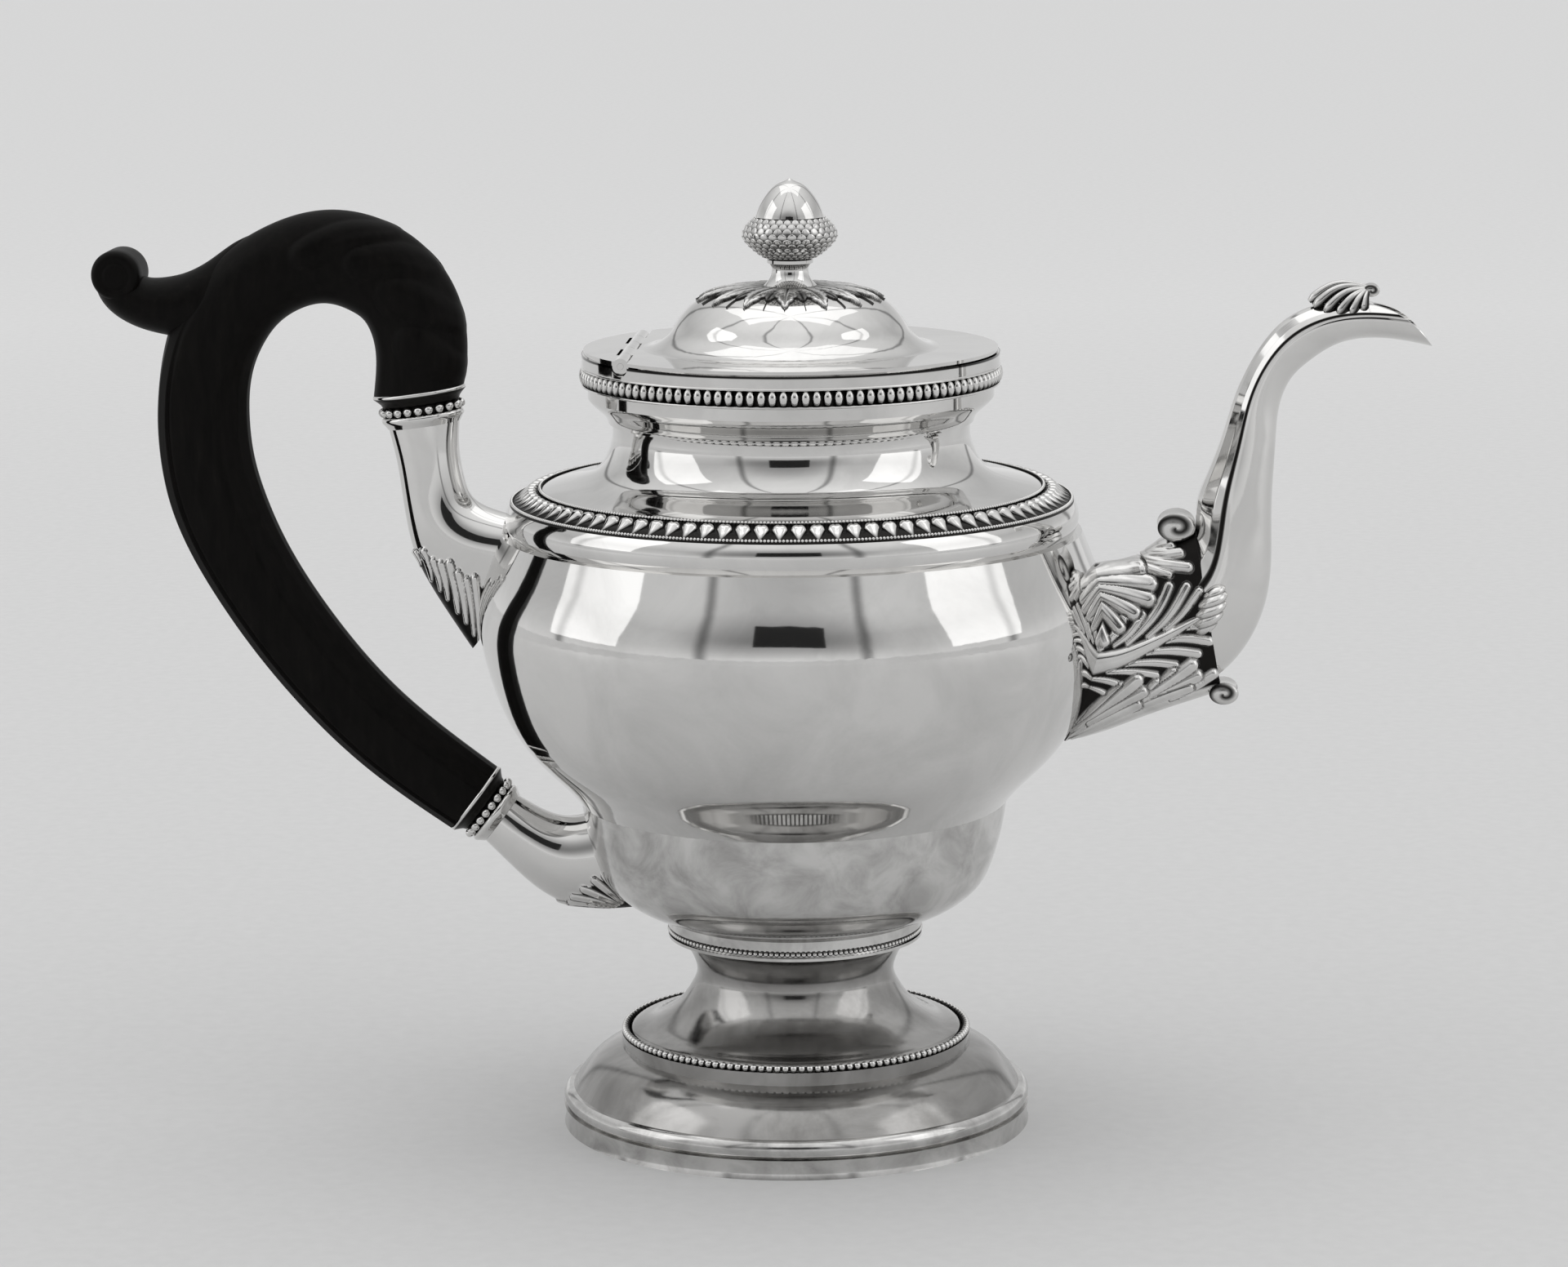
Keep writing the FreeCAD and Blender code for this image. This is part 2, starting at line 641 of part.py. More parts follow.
def mouth_cutter():
    """What lies above the bowed lip of the mouth."""
    heel = spout_point(59.4, 85.6)
    bow = spout_point(70.0, 82.6)
    tip = spout_point(78.0, 74.6)
    above = spout_point(90.0, 120.0)
    edges = edges_of((heel[0], above[1]), heel, [bow, tip], (above[0], tip[1] - HANDLE_W), above,
                     (heel[0], above[1]))
    side = Part.Face(Part.Wire(edges)).extrude(V(0, 4 * HANDLE_W, 0))
    side.translate(V(0, -2 * HANDLE_W, 0))
    return side


def make_spout(outside, core):
    bore = ruled([inset(section, CAST_WALL) for section in spout_sections()])
    return outside.cut(bore).cut(mouth_cutter()).cut(core)


def make_spout_socket(outside, core):
    """Cast leaf sleeve round the root of the spout, with a scroll at each end of its edge."""
    places = [((-11.0, 21.5), (-18.5, -23.8), 14.2),
              ((-2.6, 22.0), (-5.6, -21.6), 14.0),
              ((6.9, 23.2), (9.0, -16.3), 12.8),
              ((14.4, 28.0), (19.4, -12.6), 11.6),
              ((20.9, 31.5), (27.9, -9.5), 10.9)]
    sections = [(spout_point(*upper), spout_point(*lower), half) for upper, lower, half in places]
    sleeve = ruled(sections)
    scrolls = []
    for out, up in ((16.7, 30.6), (28.5, -9.9)):
        x, z = spout_point(out, up)
        scrolls.append(Part.makeCylinder(SCROLL_R, SCROLL_L, V(x, -SCROLL_L / 2, z), V(0, 1, 0)))
    return sleeve.multiFuse(scrolls).cut([outside, core])


def make_spout_shell(outside):
    """Scallop on the spout above the mouth: ribs fanning from a small scroll."""
    x, z = spout_point(62.4, 87.6)
    ribs = [Part.makeCylinder(SHELL_RIB_R * 1.7, SHELL_W * 0.6, V(x, -SHELL_W * 0.3, z), V(0, 1, 0))]
    for i in range(SHELL_RIBS):
        share = 2.0 * i / (SHELL_RIBS - 1) - 1
        end = V(x - SHELL_L * (1 - 0.35 * share * share), share * SHELL_W / 2, z - 2.6 - 1.8 * share * share)
        start = V(x - 1.5, share * SHELL_W * 0.2, z + 0.6)
        along = end - start
        ribs.append(Part.makeCone(SHELL_RIB_R * 0.5, SHELL_RIB_R * 1.2, along.Length, start, along))
    return ribs[0].multiFuse(ribs[1:]).cut(outside)


# Handle, placed from the upper ferrule's seat
def handle_point(out, up):
    return (-BODY_R - HANDLE_OUT - out, Z_SHOULDER + HANDLE_UP + up)


def ferrule_frames():
    """Seat centre, direction into the socket and half depth at each end of the handle."""
    upper_ends = (handle_point(-11.05, 1.5), handle_point(11.05, -1.5))
    lower_ends = (handle_point(-17.45, -93.9), handle_point(-6.05, -108.8))
    frames = []
    for start, end in (upper_ends, lower_ends):
        across = on_plane(end) - on_plane(start)
        seat = (on_plane(start) + on_plane(end)) * 0.5
        depth = across.Length / 2
        across.normalize()
        frames.append((seat, across.cross(V(0, 1, 0)), across, depth))
    return frames


def ring_section(frame, down, half_depth, half_width):
    """Oval section square to a ferrule's axis, at a distance into the socket."""
    seat, into, across, depth = frame
    middle = seat + into * down
    upper = middle - across * half_depth
    lower = middle + across * half_depth
    return (upper.x, upper.z), (lower.x, lower.z), half_width


def tenon(frame, fit):
    """Oval tongue of the wood through the ferrule into the socket."""
    half_depth = frame[3] - TENON_SHOULDER + fit
    half_width = HANDLE_W / 2 - TENON_CHEEK + fit
    length = FERRULE_L + TENON_L + fit
    return ruled([ring_section(frame, down, half_depth, half_width) for down in (0, length)])


def make_thumb():
    """Rolled scroll behind the grip, with a raised eye on each side."""
    heel = handle_point(40.0, 30.0)
    cusp = handle_point(68.4, 28.6)
    lip = handle_point(70.8, 35.1)
    notch = handle_point(61.2, 13.6)
    top = [heel, handle_point(54.0, 31.1), handle_point(61.0, 27.5), cusp]
    roll = [lip, handle_point(75.8, 34.4), handle_point(78.9, 27.6), handle_point(77.8, 23.2),
            handle_point(70.4, 16.4), notch]
    edges = [spline(top).toShape()]
    edges += edges_of(cusp, [handle_point(67.4, 32.2), lip])
    edges.append(spline(roll).toShape())
    edges += edges_of(notch, handle_point(44.0, 12.0), heel)
    scroll = Part.Face(Part.Wire(edges)).extrude(V(0, THUMB_W, 0))
    scroll.translate(V(0, -THUMB_W / 2, 0))
    x, z = handle_point(73.4, 29.6)
    eye = Part.makeCylinder(EYE_R, HANDLE_W, V(x, -HANDLE_W / 2, z), V(0, 1, 0))
    return scroll.fuse(eye)


def make_handle(frames):
    """Scroll handle: main curve, thumb scroll, and a tenon at each end."""
    curve = [((10.3, 7.5), (-12.0, 8.0)), ((12.0, 15.5), (-10.6, 21.5)), ((15.5, 19.0), (-1.0, 36.0)),
             ((23.2, 21.2), (20.0, 44.0)), ((31.5, 18.3), (39.5, 38.5)), ((38.0, 11.0), (58.0, 21.5)),
             ((41.6, -1.0), (63.8, 0.5)), ((41.5, -12.0), (64.3, -10.0)), ((38.6, -25.0), (61.8, -28.0)),
             ((31.8, -40.7), (51.0, -51.0)), ((20.0, -58.8), (36.0, -72.0)), ((4.6, -76.2), (17.0, -91.8))]
    half = HANDLE_W / 2
    places = [(handle_point(*inner), handle_point(*outer), half) for inner, outer in curve]
    first = ring_section(frames[0], 0, -frames[0][3], half)
    last = ring_section(frames[1], 0, frames[1][3], half)
    wood = ruled(eased([first] + places + [last]))
    for frame in frames:
        wood = wood.fuse(tenon(frame, 0))
    return wood.fuse(make_thumb()).cut([handle_pin(frame) for frame in frames])


def make_ferrule(frame):
    """Silver collar with a flared mouth, a swelling for its bead row and a plain lip."""
    depth = frame[3]
    half = HANDLE_W / 2
    stages = [(0, 0.2), (0.08, 0.2), (0.28, -1.6), (0.36, -1.6), (0.42, -0.6), (0.60, -0.6), (0.66, -1.7),
              (0.74, -1.8), (0.81, -1.2), (1, -2.0)]
    body = ruled([ring_section(frame, share * FERRULE_L, depth + grow, half + grow) for share, grow in stages])
    return body.cut(tenon(frame, TENON_FIT))


def make_socket(frame, places, core):
    """Cast socket from a ferrule's lip to the vessel, bored for the tenon and its pin."""
    lip = ring_section(frame, FERRULE_L, frame[3] - SOCKET_SET, HANDLE_W / 2 - SOCKET_SET)
    body = ruled(eased([lip] + places))
    return body.cut([core, tenon(frame, TENON_FIT), handle_pin(frame)])


def handle_pin(frame):
    seat, into, across, depth = frame
    middle = seat + into * (FERRULE_L + PIN_DEPTH)
    half = HANDLE_W / 2 - SOCKET_SET
    return Part.makeCylinder(HANDLE_PIN_R, 2 * half, middle - V(0, half, 0), V(0, 1, 0))


def upper_socket_places():
    places = [((5.9, -16.6), (-9.6, -14.0), 6.2), ((4.7, -24.6), (-11.0, -22.6), 6.6),
              ((2.9, -36.0), (-15.0, -28.2), 7.6), ((-0.6, -45.6), (-25.0, -31.4), 8.4),
              ((-12.0, -64.0), (-36.0, -34.0), 7.0)]
    return [(handle_point(*high), handle_point(*low), width) for low, high, width in places]


def lower_socket_places():
    low = [(70.6, -17.0), (60.6, -25.2), (47.0, -28.3), (35.0, -27.2)]
    high = [(63.2, -2.8), (55.6, -5.0), (45.5, -2.4), (36.0, -1.0)]
    widths = [6.9, 7.8, 8.2, 7.2]
    return [((-x0, Z_WAIST + z0), (-x1, Z_WAIST + z1), width) for (x0, z0), (x1, z1), width in zip(high, low, widths)]


def build():
    core = pot_core()
    frames = ferrule_frames()
    outside = ruled(spout_sections())
    nodes = {
        "foot_rim": make_foot_rim(),
        "foot_dome": make_foot_dome(),
        "foot_bead_wire": Part.makeTorus(STEP_R - FOOT_BEAD_R, FOOT_BEAD_R, V(0, 0, Z_STEP + FOOT_BEAD_R)),
        "pedestal": make_pedestal(),
        "stem_collar": make_stem_collar(),
        "stem_bead_wire": Part.makeTorus(COLLAR_R - COLLAR_GROOVE + STEM_BEAD_R, STEM_BEAD_R,
                                         V(0, 0, Z_STEM + COLLAR_FILLET_H + COLLAR_GROOVE_H / 2)),
        "lower_bowl": make_lower_bowl(),
        "upper_body": make_upper_body(),
        "shoulder_moulding": make_shoulder_moulding(),
        "shoulder_band": make_shoulder_band(),
        "shoulder_neck": make_shoulder_neck(),
        "rim_ovolo": make_rim_ovolo(),
        "rim_beads": make_rim_beads(),
        "rim_band": make_rim_band(),
        "hinge_deck": make_hinge_deck(),
        "hinge_knuckles": knuckles(False),
        "hinge_pin": make_hinge_pin(),
        "spout": make_spout(outside, core),
        "spout_socket": make_spout_socket(outside, core),
        "spout_shell": make_spout_shell(outside),
        "handle": make_handle(frames),
        "upper_ferrule": make_ferrule(frames[0]),
        "lower_ferrule": make_ferrule(frames[1]),
        "upper_socket": make_socket(frames[0], upper_socket_places(), core),
        "lower_socket": make_socket(frames[1], lower_socket_places(), core),
        "handle_pins": Part.makeCompound([handle_pin(frame) for frame in frames]),
        "lid": make_lid(),
        "lid_bezel": make_lid_bezel(),
        "lid_knuckles": knuckles(True),
        "calyx": make_calyx(),
        "finial_stem": make_finial_stem(),
        "finial_cup": make_finial_cup(),
        "finial_acorn": make_finial_acorn(),
        "finial_nut": make_finial_nut(),
    }
    os.makedirs("parts", exist_ok=True)
    for name, shape in nodes.items():
        shape.exportStep("parts/" + name + ".step")
        print(name, "solids", len(shape.Solids), "valid", shape.isValid(), "volume", round(shape.Volume, 1))


if __name__ == "__main__":
    build()
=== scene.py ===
import json
import math

import bpy
import numpy as np
from mathutils import Matrix, Vector

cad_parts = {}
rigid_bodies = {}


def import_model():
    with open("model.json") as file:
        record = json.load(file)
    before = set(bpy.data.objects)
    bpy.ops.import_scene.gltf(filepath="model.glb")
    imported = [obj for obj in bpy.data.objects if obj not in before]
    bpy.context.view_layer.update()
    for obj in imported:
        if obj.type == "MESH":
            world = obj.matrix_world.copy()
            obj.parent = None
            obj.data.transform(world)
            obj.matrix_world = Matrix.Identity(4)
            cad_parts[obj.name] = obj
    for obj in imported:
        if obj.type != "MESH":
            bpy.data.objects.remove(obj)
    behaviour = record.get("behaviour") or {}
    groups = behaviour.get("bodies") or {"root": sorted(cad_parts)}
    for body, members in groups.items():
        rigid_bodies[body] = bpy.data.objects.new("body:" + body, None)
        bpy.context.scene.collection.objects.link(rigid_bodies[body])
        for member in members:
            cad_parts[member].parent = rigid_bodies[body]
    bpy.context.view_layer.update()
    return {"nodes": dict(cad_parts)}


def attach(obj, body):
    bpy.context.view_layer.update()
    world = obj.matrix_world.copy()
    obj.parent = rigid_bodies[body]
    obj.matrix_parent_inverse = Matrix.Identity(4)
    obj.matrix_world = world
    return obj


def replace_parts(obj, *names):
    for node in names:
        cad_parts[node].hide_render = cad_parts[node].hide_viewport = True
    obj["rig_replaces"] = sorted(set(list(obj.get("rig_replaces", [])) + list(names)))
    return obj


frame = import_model()

# Lengths below are millimetres in the frame of the part, and become metres when a mesh is made.
MM = 0.001

ROUND = 192                 # points round a plain turned ring

# Levels and radii shared by several pieces
BAND_OUT_R = 68.6           # outer and inner edge of the shoulder's ornament band
BAND_IN_R = 60.8
Z_SEAT_OUT = 154.9          # heights of its seat at the two edges
Z_SEAT_IN = 158.1
GROUND_T = 0.45             # thickness of its dark ground
Z_LID = 191.8               # underside of the lid's brim
LID_WALL = 0.8
LID_H = 14.5                # rise of the lid's dome above its brim
Z_CROWN = Z_LID + LID_WALL + LID_H
RIM_R = 50.7                # outside of the band that the lid closes on
Z_SEAM = Z_LID - 0.85       # where the dark joint and the painted shadow under the brim start
Z_CUP = 213.8               # foot and height of the finial's cup
CUP_H = 10.3
HANDLE_HALF = 8.25          # half width of the handle
FERRULE_H = 8.6             # length of the collars at its ends


# Curves and grids
def around(count):
    """Angles evenly spread over a full turn."""
    return np.linspace(0, 2 * math.pi, count, endpoint=False)


def lengths(line):
    """Length along a line of points up to each of them."""
    return np.concatenate([[0.0], np.cumsum(np.linalg.norm(np.diff(line, axis=0), axis=1))])


def smooth(points, count):
    """Points evenly spread along a natural cubic spline through the given ones."""
    p = np.asarray(points, float)
    n = len(p)
    t = lengths(p)
    h = np.diff(t)
    matrix = np.eye(n)
    right = np.zeros_like(p)
    for i in range(1, n - 1):
        matrix[i, i - 1:i + 2] = h[i - 1], 2 * (h[i - 1] + h[i]), h[i]
        right[i] = 6 * ((p[i + 1] - p[i]) / h[i] - (p[i] - p[i - 1]) / h[i - 1])
    bend = np.linalg.solve(matrix, right)
    s = np.linspace(0, t[-1], count)
    i = np.clip(np.searchsorted(t, s, side="right") - 1, 0, n - 2)
    a = (t[i + 1] - s)[:, None]
    b = (s - t[i])[:, None]
    step = h[i][:, None]
    straight = p[i] * a / step + p[i + 1] * b / step
    bow = (bend[i] * (a ** 3 / step - a * step) + bend[i + 1] * (b ** 3 / step - b * step)) / 6
    return straight + bow


def between(low, high, shares):
    """Points at given shares of the way from low to high, both ends included."""
    wide, tall = high[0] - low[0], high[1] - low[1]
    return [low] + [(low[0] + a * wide, low[1] + b * tall) for a, b in shares] + [high]


def grid_normals(grid, wrap_rows=False, wrap_columns=True):
    """Unit normals of a grid of points, pointing the way its faces do."""
    def slope(axis, wrap):
        if not wrap:
            return np.gradient(grid, axis=axis)
        return (np.roll(grid, -1, axis) - np.roll(grid, 1, axis)) / 2
    normal = np.cross(slope(1, wrap_columns), slope(0, wrap_rows))
    return normal / np.maximum(np.linalg.norm(normal, axis=2, keepdims=True), 1e-9)


def grid_faces(rows, columns, wrap_rows=False, wrap_columns=True, start=0):
    """Quads of a grid, as rows of four vertex numbers."""
    i = np.arange(rows if wrap_rows else rows - 1)
    j = np.arange(columns if wrap_columns else columns - 1)
    i, j = [m.ravel() for m in np.meshgrid(i, j, indexing="ij")]
    down = (i + 1) % rows
    side = (j + 1) % columns
    corners = [i * columns + j, i * columns + side, down * columns + side, down * columns + j]
    return start + np.stack(corners, 1)


class Sheets:
    """Grids gathered into one mesh."""

    def __init__(self):
        self.points = []
        self.faces = []
        self.relief = []
        self.count = 0

    def add(self, grid, wrap_rows=False, wrap_columns=True, relief=None, flip=False):
        rows, columns = grid.shape[:2]
        quads = grid_faces(rows, columns, wrap_rows, wrap_columns, self.count)
        self.points.append(grid.reshape(-1, 3))
        self.faces.append(quads[:, ::-1] if flip else quads)
        self.relief.append(np.ones(rows * columns) if relief is None else relief.ravel())
        self.count += rows * columns
        return self

    def make(self, name, material, body, slot, replaces=()):
        mesh = bpy.data.meshes.new(name)
        points = np.concatenate(self.points) * MM
        faces = np.concatenate(self.faces)
        mesh.from_pydata(points.tolist(), [], faces.tolist())
        height = mesh.attributes.new("relief", "FLOAT", "POINT")
        height.data.foreach_set("value", np.concatenate(self.relief).astype(np.float32))
        mesh.polygons.foreach_set("use_smooth", np.ones(len(faces), bool))
        mesh.materials.append(material)
        mesh.update()
        piece = bpy.data.objects.new(name, mesh)
        bpy.context.scene.collection.objects.link(piece)
        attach(piece, body)
        if replaces:
            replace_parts(piece, *replaces)
        return piece


def lathe(outline, segments=ROUND):
    """Grid of an outline of radius and height turned round Z."""
    turn = around(segments)
    outline = np.asarray(outline, float)
    radius = outline[:, :1]
    height = np.repeat(outline[:, 1:], segments, axis=1)
    return np.stack([radius * np.cos(turn), radius * np.sin(turn), height], 2)


def ball(centre, radii, rows=12, columns=18):
    """Grid of an ellipsoid, open by a hair at its poles."""
    pole = 0.02
    rise = np.linspace(pole, math.pi - pole, rows)[:, None]
    turn = around(columns)
    level = np.cos(rise) + 0 * turn
    shape = np.stack([np.sin(rise) * np.cos(turn), np.sin(rise) * np.sin(turn), level], 2)
    return np.asarray(centre) + shape * np.asarray(radii)


def turned(grid, angle):
    """Grid turned round Z."""
    c, s = math.cos(angle), math.sin(angle)
    return grid @ np.array([[c, s, 0], [-s, c, 0], [0, 0, 1]])


# Sections of the swept mounts: upper end, lower end in XZ, and half width in Y
def sections(places, count):
    """Smoothly spread sections through the given ones."""
    return smooth([(*upper, *lower, half) for upper, lower, half in places], count)


def swept(rows, columns, outline=None):
    """Grid through sections, each ring running from its upper to its lower end on the near side, then back."""
    angle = around(columns)
    reach, width = outline(angle) if outline else (np.cos(angle), np.sin(angle))
    upper, lower, half = rows[:, None, 0:2], rows[:, None, 2:4], rows[:, None, 4]
    middle = (upper + lower) / 2
    arm = (upper - lower) / 2
    flat = middle + arm * reach[None, :, None]
    return np.stack([flat[..., 0], -half * width, flat[..., 1]], 2)


# Leaf work: lobes drawn on a flat view and raised from a surface
SPINE_STEPS = 70
LOBE_REACH = 1.8            # how far from its spine a lobe is looked for, in half widths
LOBE_BLEND = 4              # power by which the lobes of one leaf run into each other
VEIN_HALF = 0.25            # half width of the groove along a lobe, as a share of the lobe


def stroke(points, width, height, taper=1.0):
    """One lobe: its spine in a flat view, its half width and height, and 0 for one that narrows to its tip."""
    return smooth(points, SPINE_STEPS), width, height, taper


def lobes(spines, height):
    """A leaf of its own for each spine and half width, so that every lobe keeps its dark edge."""
    return [[stroke(points, width, height)] for points, width in spines]


def fan(tips, height, bow, share=0.5):
    """Lobes from a root to a tip with a half width, each bowed at its middle."""
    spines = []
    for root, tip, width in tips:
        middle = ((1 - share) * root[0] + share * tip[0] + bow[0], (root[1] + tip[1]) / 2 + bow[1])
        spines.append(([root, middle, tip], width))
    return lobes(spines, height)


def raised(flat, groups, vein=0.08):
    """Height of the leaf work at each point of a flat view, and its tone, which falls to 0 at a lobe's edge.

    Each group of lobes is one leaf and lies over the groups before it."""
    shape = flat.shape[:2]
    flat = flat.reshape(-1, 2)
    height, tone = np.zeros(len(flat)), np.zeros(len(flat))
    for group in groups:
        crown, rim = np.zeros(len(flat)), np.zeros(len(flat))
        for spine, width, rise, taper in group:
            margin = LOBE_REACH * width
            box = (flat > spine.min(0) - margin) & (flat < spine.max(0) + margin)
            near = np.nonzero(box.all(1))[0]
            if len(near) == 0:
                continue
            apart = np.linalg.norm(flat[near][:, None] - spine[None], axis=2)
            at = apart.argmin(1)
            share = at / (len(spine) - 1)
            rounded = 0.45 + 0.75 * share - 0.30 * share ** 3
            pointed = 1.7 - 1.3 * share
            body = width * (taper * rounded + (1 - taper) * pointed)
            across = np.clip(apart[np.arange(len(near)), at] / body, 0, 1)
            groove = vein * np.exp(-(across / VEIN_HALF) ** 2) * (across < 1)
            dome = (1 - across ** 2.5) * (0.6 + 0.4 * share) - groove
            crown[near] += np.maximum(rise * dome, 0) ** LOBE_BLEND
            rim[near] = np.maximum(rim[near], 1 - across ** 4)
        inside = rim > 0
        height[inside], tone[inside] = crown[inside] ** (1 / LOBE_BLEND), rim[inside]
    return height.reshape(shape), tone.reshape(shape)


# Materials
class Graph:
    """Nodes of one material or world. A source is a plain value or another node's output."""

    def __init__(self, tree):
        self.nodes, self.links = tree.nodes, tree.links

    def feed(self, socket, source):
        if isinstance(source, bpy.types.NodeSocket):
            self.links.new(source, socket)
        else:
            socket.default_value = source

    def node(self, kind, inputs, **settings):
        """A node with its settings, and its inputs by name or number."""
        node = self.nodes.new(kind)
        for key, value in settings.items():
            setattr(node, key, value)
        for key, source in inputs.items():
            self.feed(node.inputs[key], source)
        return node

    def place(self, output="Object"):
        return self.node("ShaderNodeTexCoord", {}).outputs[output]

    def noise(self, place, scale, detail, **more):
        inputs = {"Vector": place, "Scale": scale, "Detail": detail}
        inputs.update({key.capitalize(): value for key, value in more.items()})
        return self.node("ShaderNodeTexNoise", inputs).outputs["Fac"]

    def ramp(self, source, stops):
        """Grey or colour by the place of a source between stops."""
        node = self.node("ShaderNodeValToRGB", {"Fac": source})
        while len(node.color_ramp.elements) < len(stops):
            node.color_ramp.elements.new(0.5)
        for element, (place, tint) in zip(node.color_ramp.elements, stops):
            element.position = place
            element.color = (*tint, 1) if isinstance(tint, tuple) else (tint, tint, tint, 1)
        return node.outputs["Color"]

    def span(self, source, low, high, to=(0.0, 1.0), soft=False):
        """A source carried from one span to another."""
        inputs = {"Value": source, "From Min": low, "From Max": high, "To Min": to[0], "To Max": to[1]}
        shape = "SMOOTHSTEP" if soft else "LINEAR"
        return self.node("ShaderNodeMapRange", inputs, interpolation_type=shape).outputs["Result"]

    def mix(self, factor, first, second, blend="MIX"):
        """Colour between two others."""
        inputs = {"Factor": factor, "A": first, "B": second}
        return self.node("ShaderNodeMix", inputs, data_type="RGBA", blend_type=blend).outputs["Result"]

    def math(self, operation, *sources):
        return self.node("ShaderNodeMath", dict(enumerate(sources)), operation=operation).outputs["Value"]

    def length(self, vector):
        return self.node("ShaderNodeVectorMath", {0: vector}, operation="LENGTH").outputs["Value"]

    def parts(self, vector):
        """The X, Y and Z of a vector."""
        return self.node("ShaderNodeSeparateXYZ", {"Vector": vector}).outputs


def new_material(name):
    material = bpy.data.materials.new(name)
    material.use_nodes = True
    return material, Graph(material.node_tree), material.node_tree.nodes["Principled BSDF"].inputs


SILVER = (0.72, 0.715, 0.705, 1)
TARNISH = (0.19, 0.185, 0.178, 1)
# near black of oxide in hollows, also used for painted shade and painted reflections
OXIDE_AND_PAINTED_SHADE = (0.02, 0.019, 0.018, 1)
HOLLOW_ROUGH = 0.35         # roughness added where oxide and painted shade darken the silver
SEAM_SOFT = 0.00012         # metres over which the edge of a dark seam fades


def silver(name, tarnish=0.25, rough=0.045, relief=None, cover=0.0, joint=None, spots=38.0):
    """Polished silver with faint polishing marks and tarnish in soft patches.

    Hollows, and places of painted shade and painted reflection, are dark where the relief attribute is low in
    the given span. Joint is the radius and the height past which a seam is dark, the joint together with
    painted shadow under the lid's brim."""
    material, graph, shader = new_material(name)
    shader["Metallic"].default_value = 1.0
    place = graph.place()
    patches = graph.noise(place, spots, 6.0, roughness=0.62, distortion=0.6)
    colour = graph.mix(graph.ramp(patches, [(0.40, cover), (0.74, tarnish)]), SILVER, TARNISH)
    marks = graph.noise(place, 900.0, 3.0)
    gloss = graph.span(marks, 0.0, 1.0, (rough * 0.7, rough * 1.6))
    if relief:
        height = graph.node("ShaderNodeAttribute", {}, attribute_name="relief").outputs["Fac"]
        # dark share of the relief: oxide in hollows, and painted shade and painted reflections
        oxide_and_shade = graph.span(height, relief[0], relief[1], (1.0, 0.0))
        colour = graph.mix(oxide_and_shade, colour, OXIDE_AND_PAINTED_SHADE)
        gloss = graph.math("MULTIPLY_ADD", oxide_and_shade, HOLLOW_ROUGH, gloss)
    # painted shadow under the lid's brim: the rim band is dark above the seam's level, joint and shadow
    # together
    if joint:
        radius, level = joint
        spot = graph.node("ShaderNodeNewGeometry", {}).outputs["Position"]
        above = graph.span(graph.parts(spot)["Z"], level - SEAM_SOFT, level + SEAM_SOFT)
        flat = graph.node("ShaderNodeVectorMath", {0: spot, 1: (1, 1, 0)}, operation="MULTIPLY")
        outside = graph.math("GREATER_THAN", graph.length(flat.outputs["Vector"]), radius)
        colour = graph.mix(graph.math("MULTIPLY", above, outside), colour, OXIDE_AND_PAINTED_SHADE)
    graph.feed(shader["Base Color"], colour)
    graph.feed(shader["Roughness"], gloss)
    return material


def wood():
    """Ebonised wood: near black, fine grain along the handle and a soft wax gloss."""
    material, graph, shader = new_material("ebonised_wood")
    stretch = {"Vector": graph.place(), "Scale": (420.0, 900.0, 90.0)}
    along = graph.node("ShaderNodeMapping", stretch).outputs["Vector"]
    grain = graph.noise(along, 1.0, 8.0, roughness=0.6, distortion=0.4)
    tints = [(0.30, (0.0022, 0.002, 0.0018)), (0.62, (0.005, 0.0044, 0.004)), (0.85, (0.010, 0.0088, 0.0078))]
    graph.feed(shader["Base Color"], graph.ramp(grain, tints))
    graph.feed(shader["Roughness"], graph.span(grain, 0.0, 1.0, (0.34, 0.55)))
    shader["Specular IOR Level"].default_value = 0.07
    bump = graph.node("ShaderNodeBump", {"Strength": 0.18, "Distance": 0.0002, "Height": grain})
    graph.feed(shader["Normal"], bump.outputs["Normal"])
    return material


polished = silver("polished_silver")
worn = silver("worn_silver", tarnish=0.7, rough=0.10, cover=0.08, spots=75.0)
# tarnish and painted shade: the heavy dark cover on the foot and pedestal also stands in for the dark
# reflections of the shaded underside
tarnished_and_shaded = silver("tarnish_and_shade_silver", tarnish=1.0, rough=0.13, cover=0.60)
cast = silver("cast_silver", tarnish=0.45, rough=0.16, relief=(0.0, 0.6))
bead_silver = silver("bead_silver", tarnish=0.1, rough=0.05, relief=(0.0, 0.6))
cast_smooth = silver("cast_smooth_silver", tarnish=0.15, rough=0.05, relief=(0.0, 0.5))
# rim band with the joint and painted shadow under the lid's brim
seam_shadowed = silver("seam_shadow_silver", joint=((RIM_R - 0.2) * MM, Z_SEAM * MM))
black_wood = wood()


# Ornament rows
def bead_row(sheets, radius, height, count, radii, rows=9, columns=12):
    """Egg-shaped beads round the axis, with painted shade on the side turned in and down, where they meet the
    ground behind them.
    """
    bead = ball((radius, 0, height), radii, rows, columns)
    # painted light and shade: lighter on the side facing out and up, darker on the side turned in and down
    lit_side = (bead - (radius, 0, height)) / radii @ (0.8, 0.0, 0.6)
    relief = np.clip(0.18 + 1.1 * lit_side, 0, 1)
    for i in range(count):
        sheets.add(turned(bead, 2 * math.pi * i / count), relief=relief, flip=True)


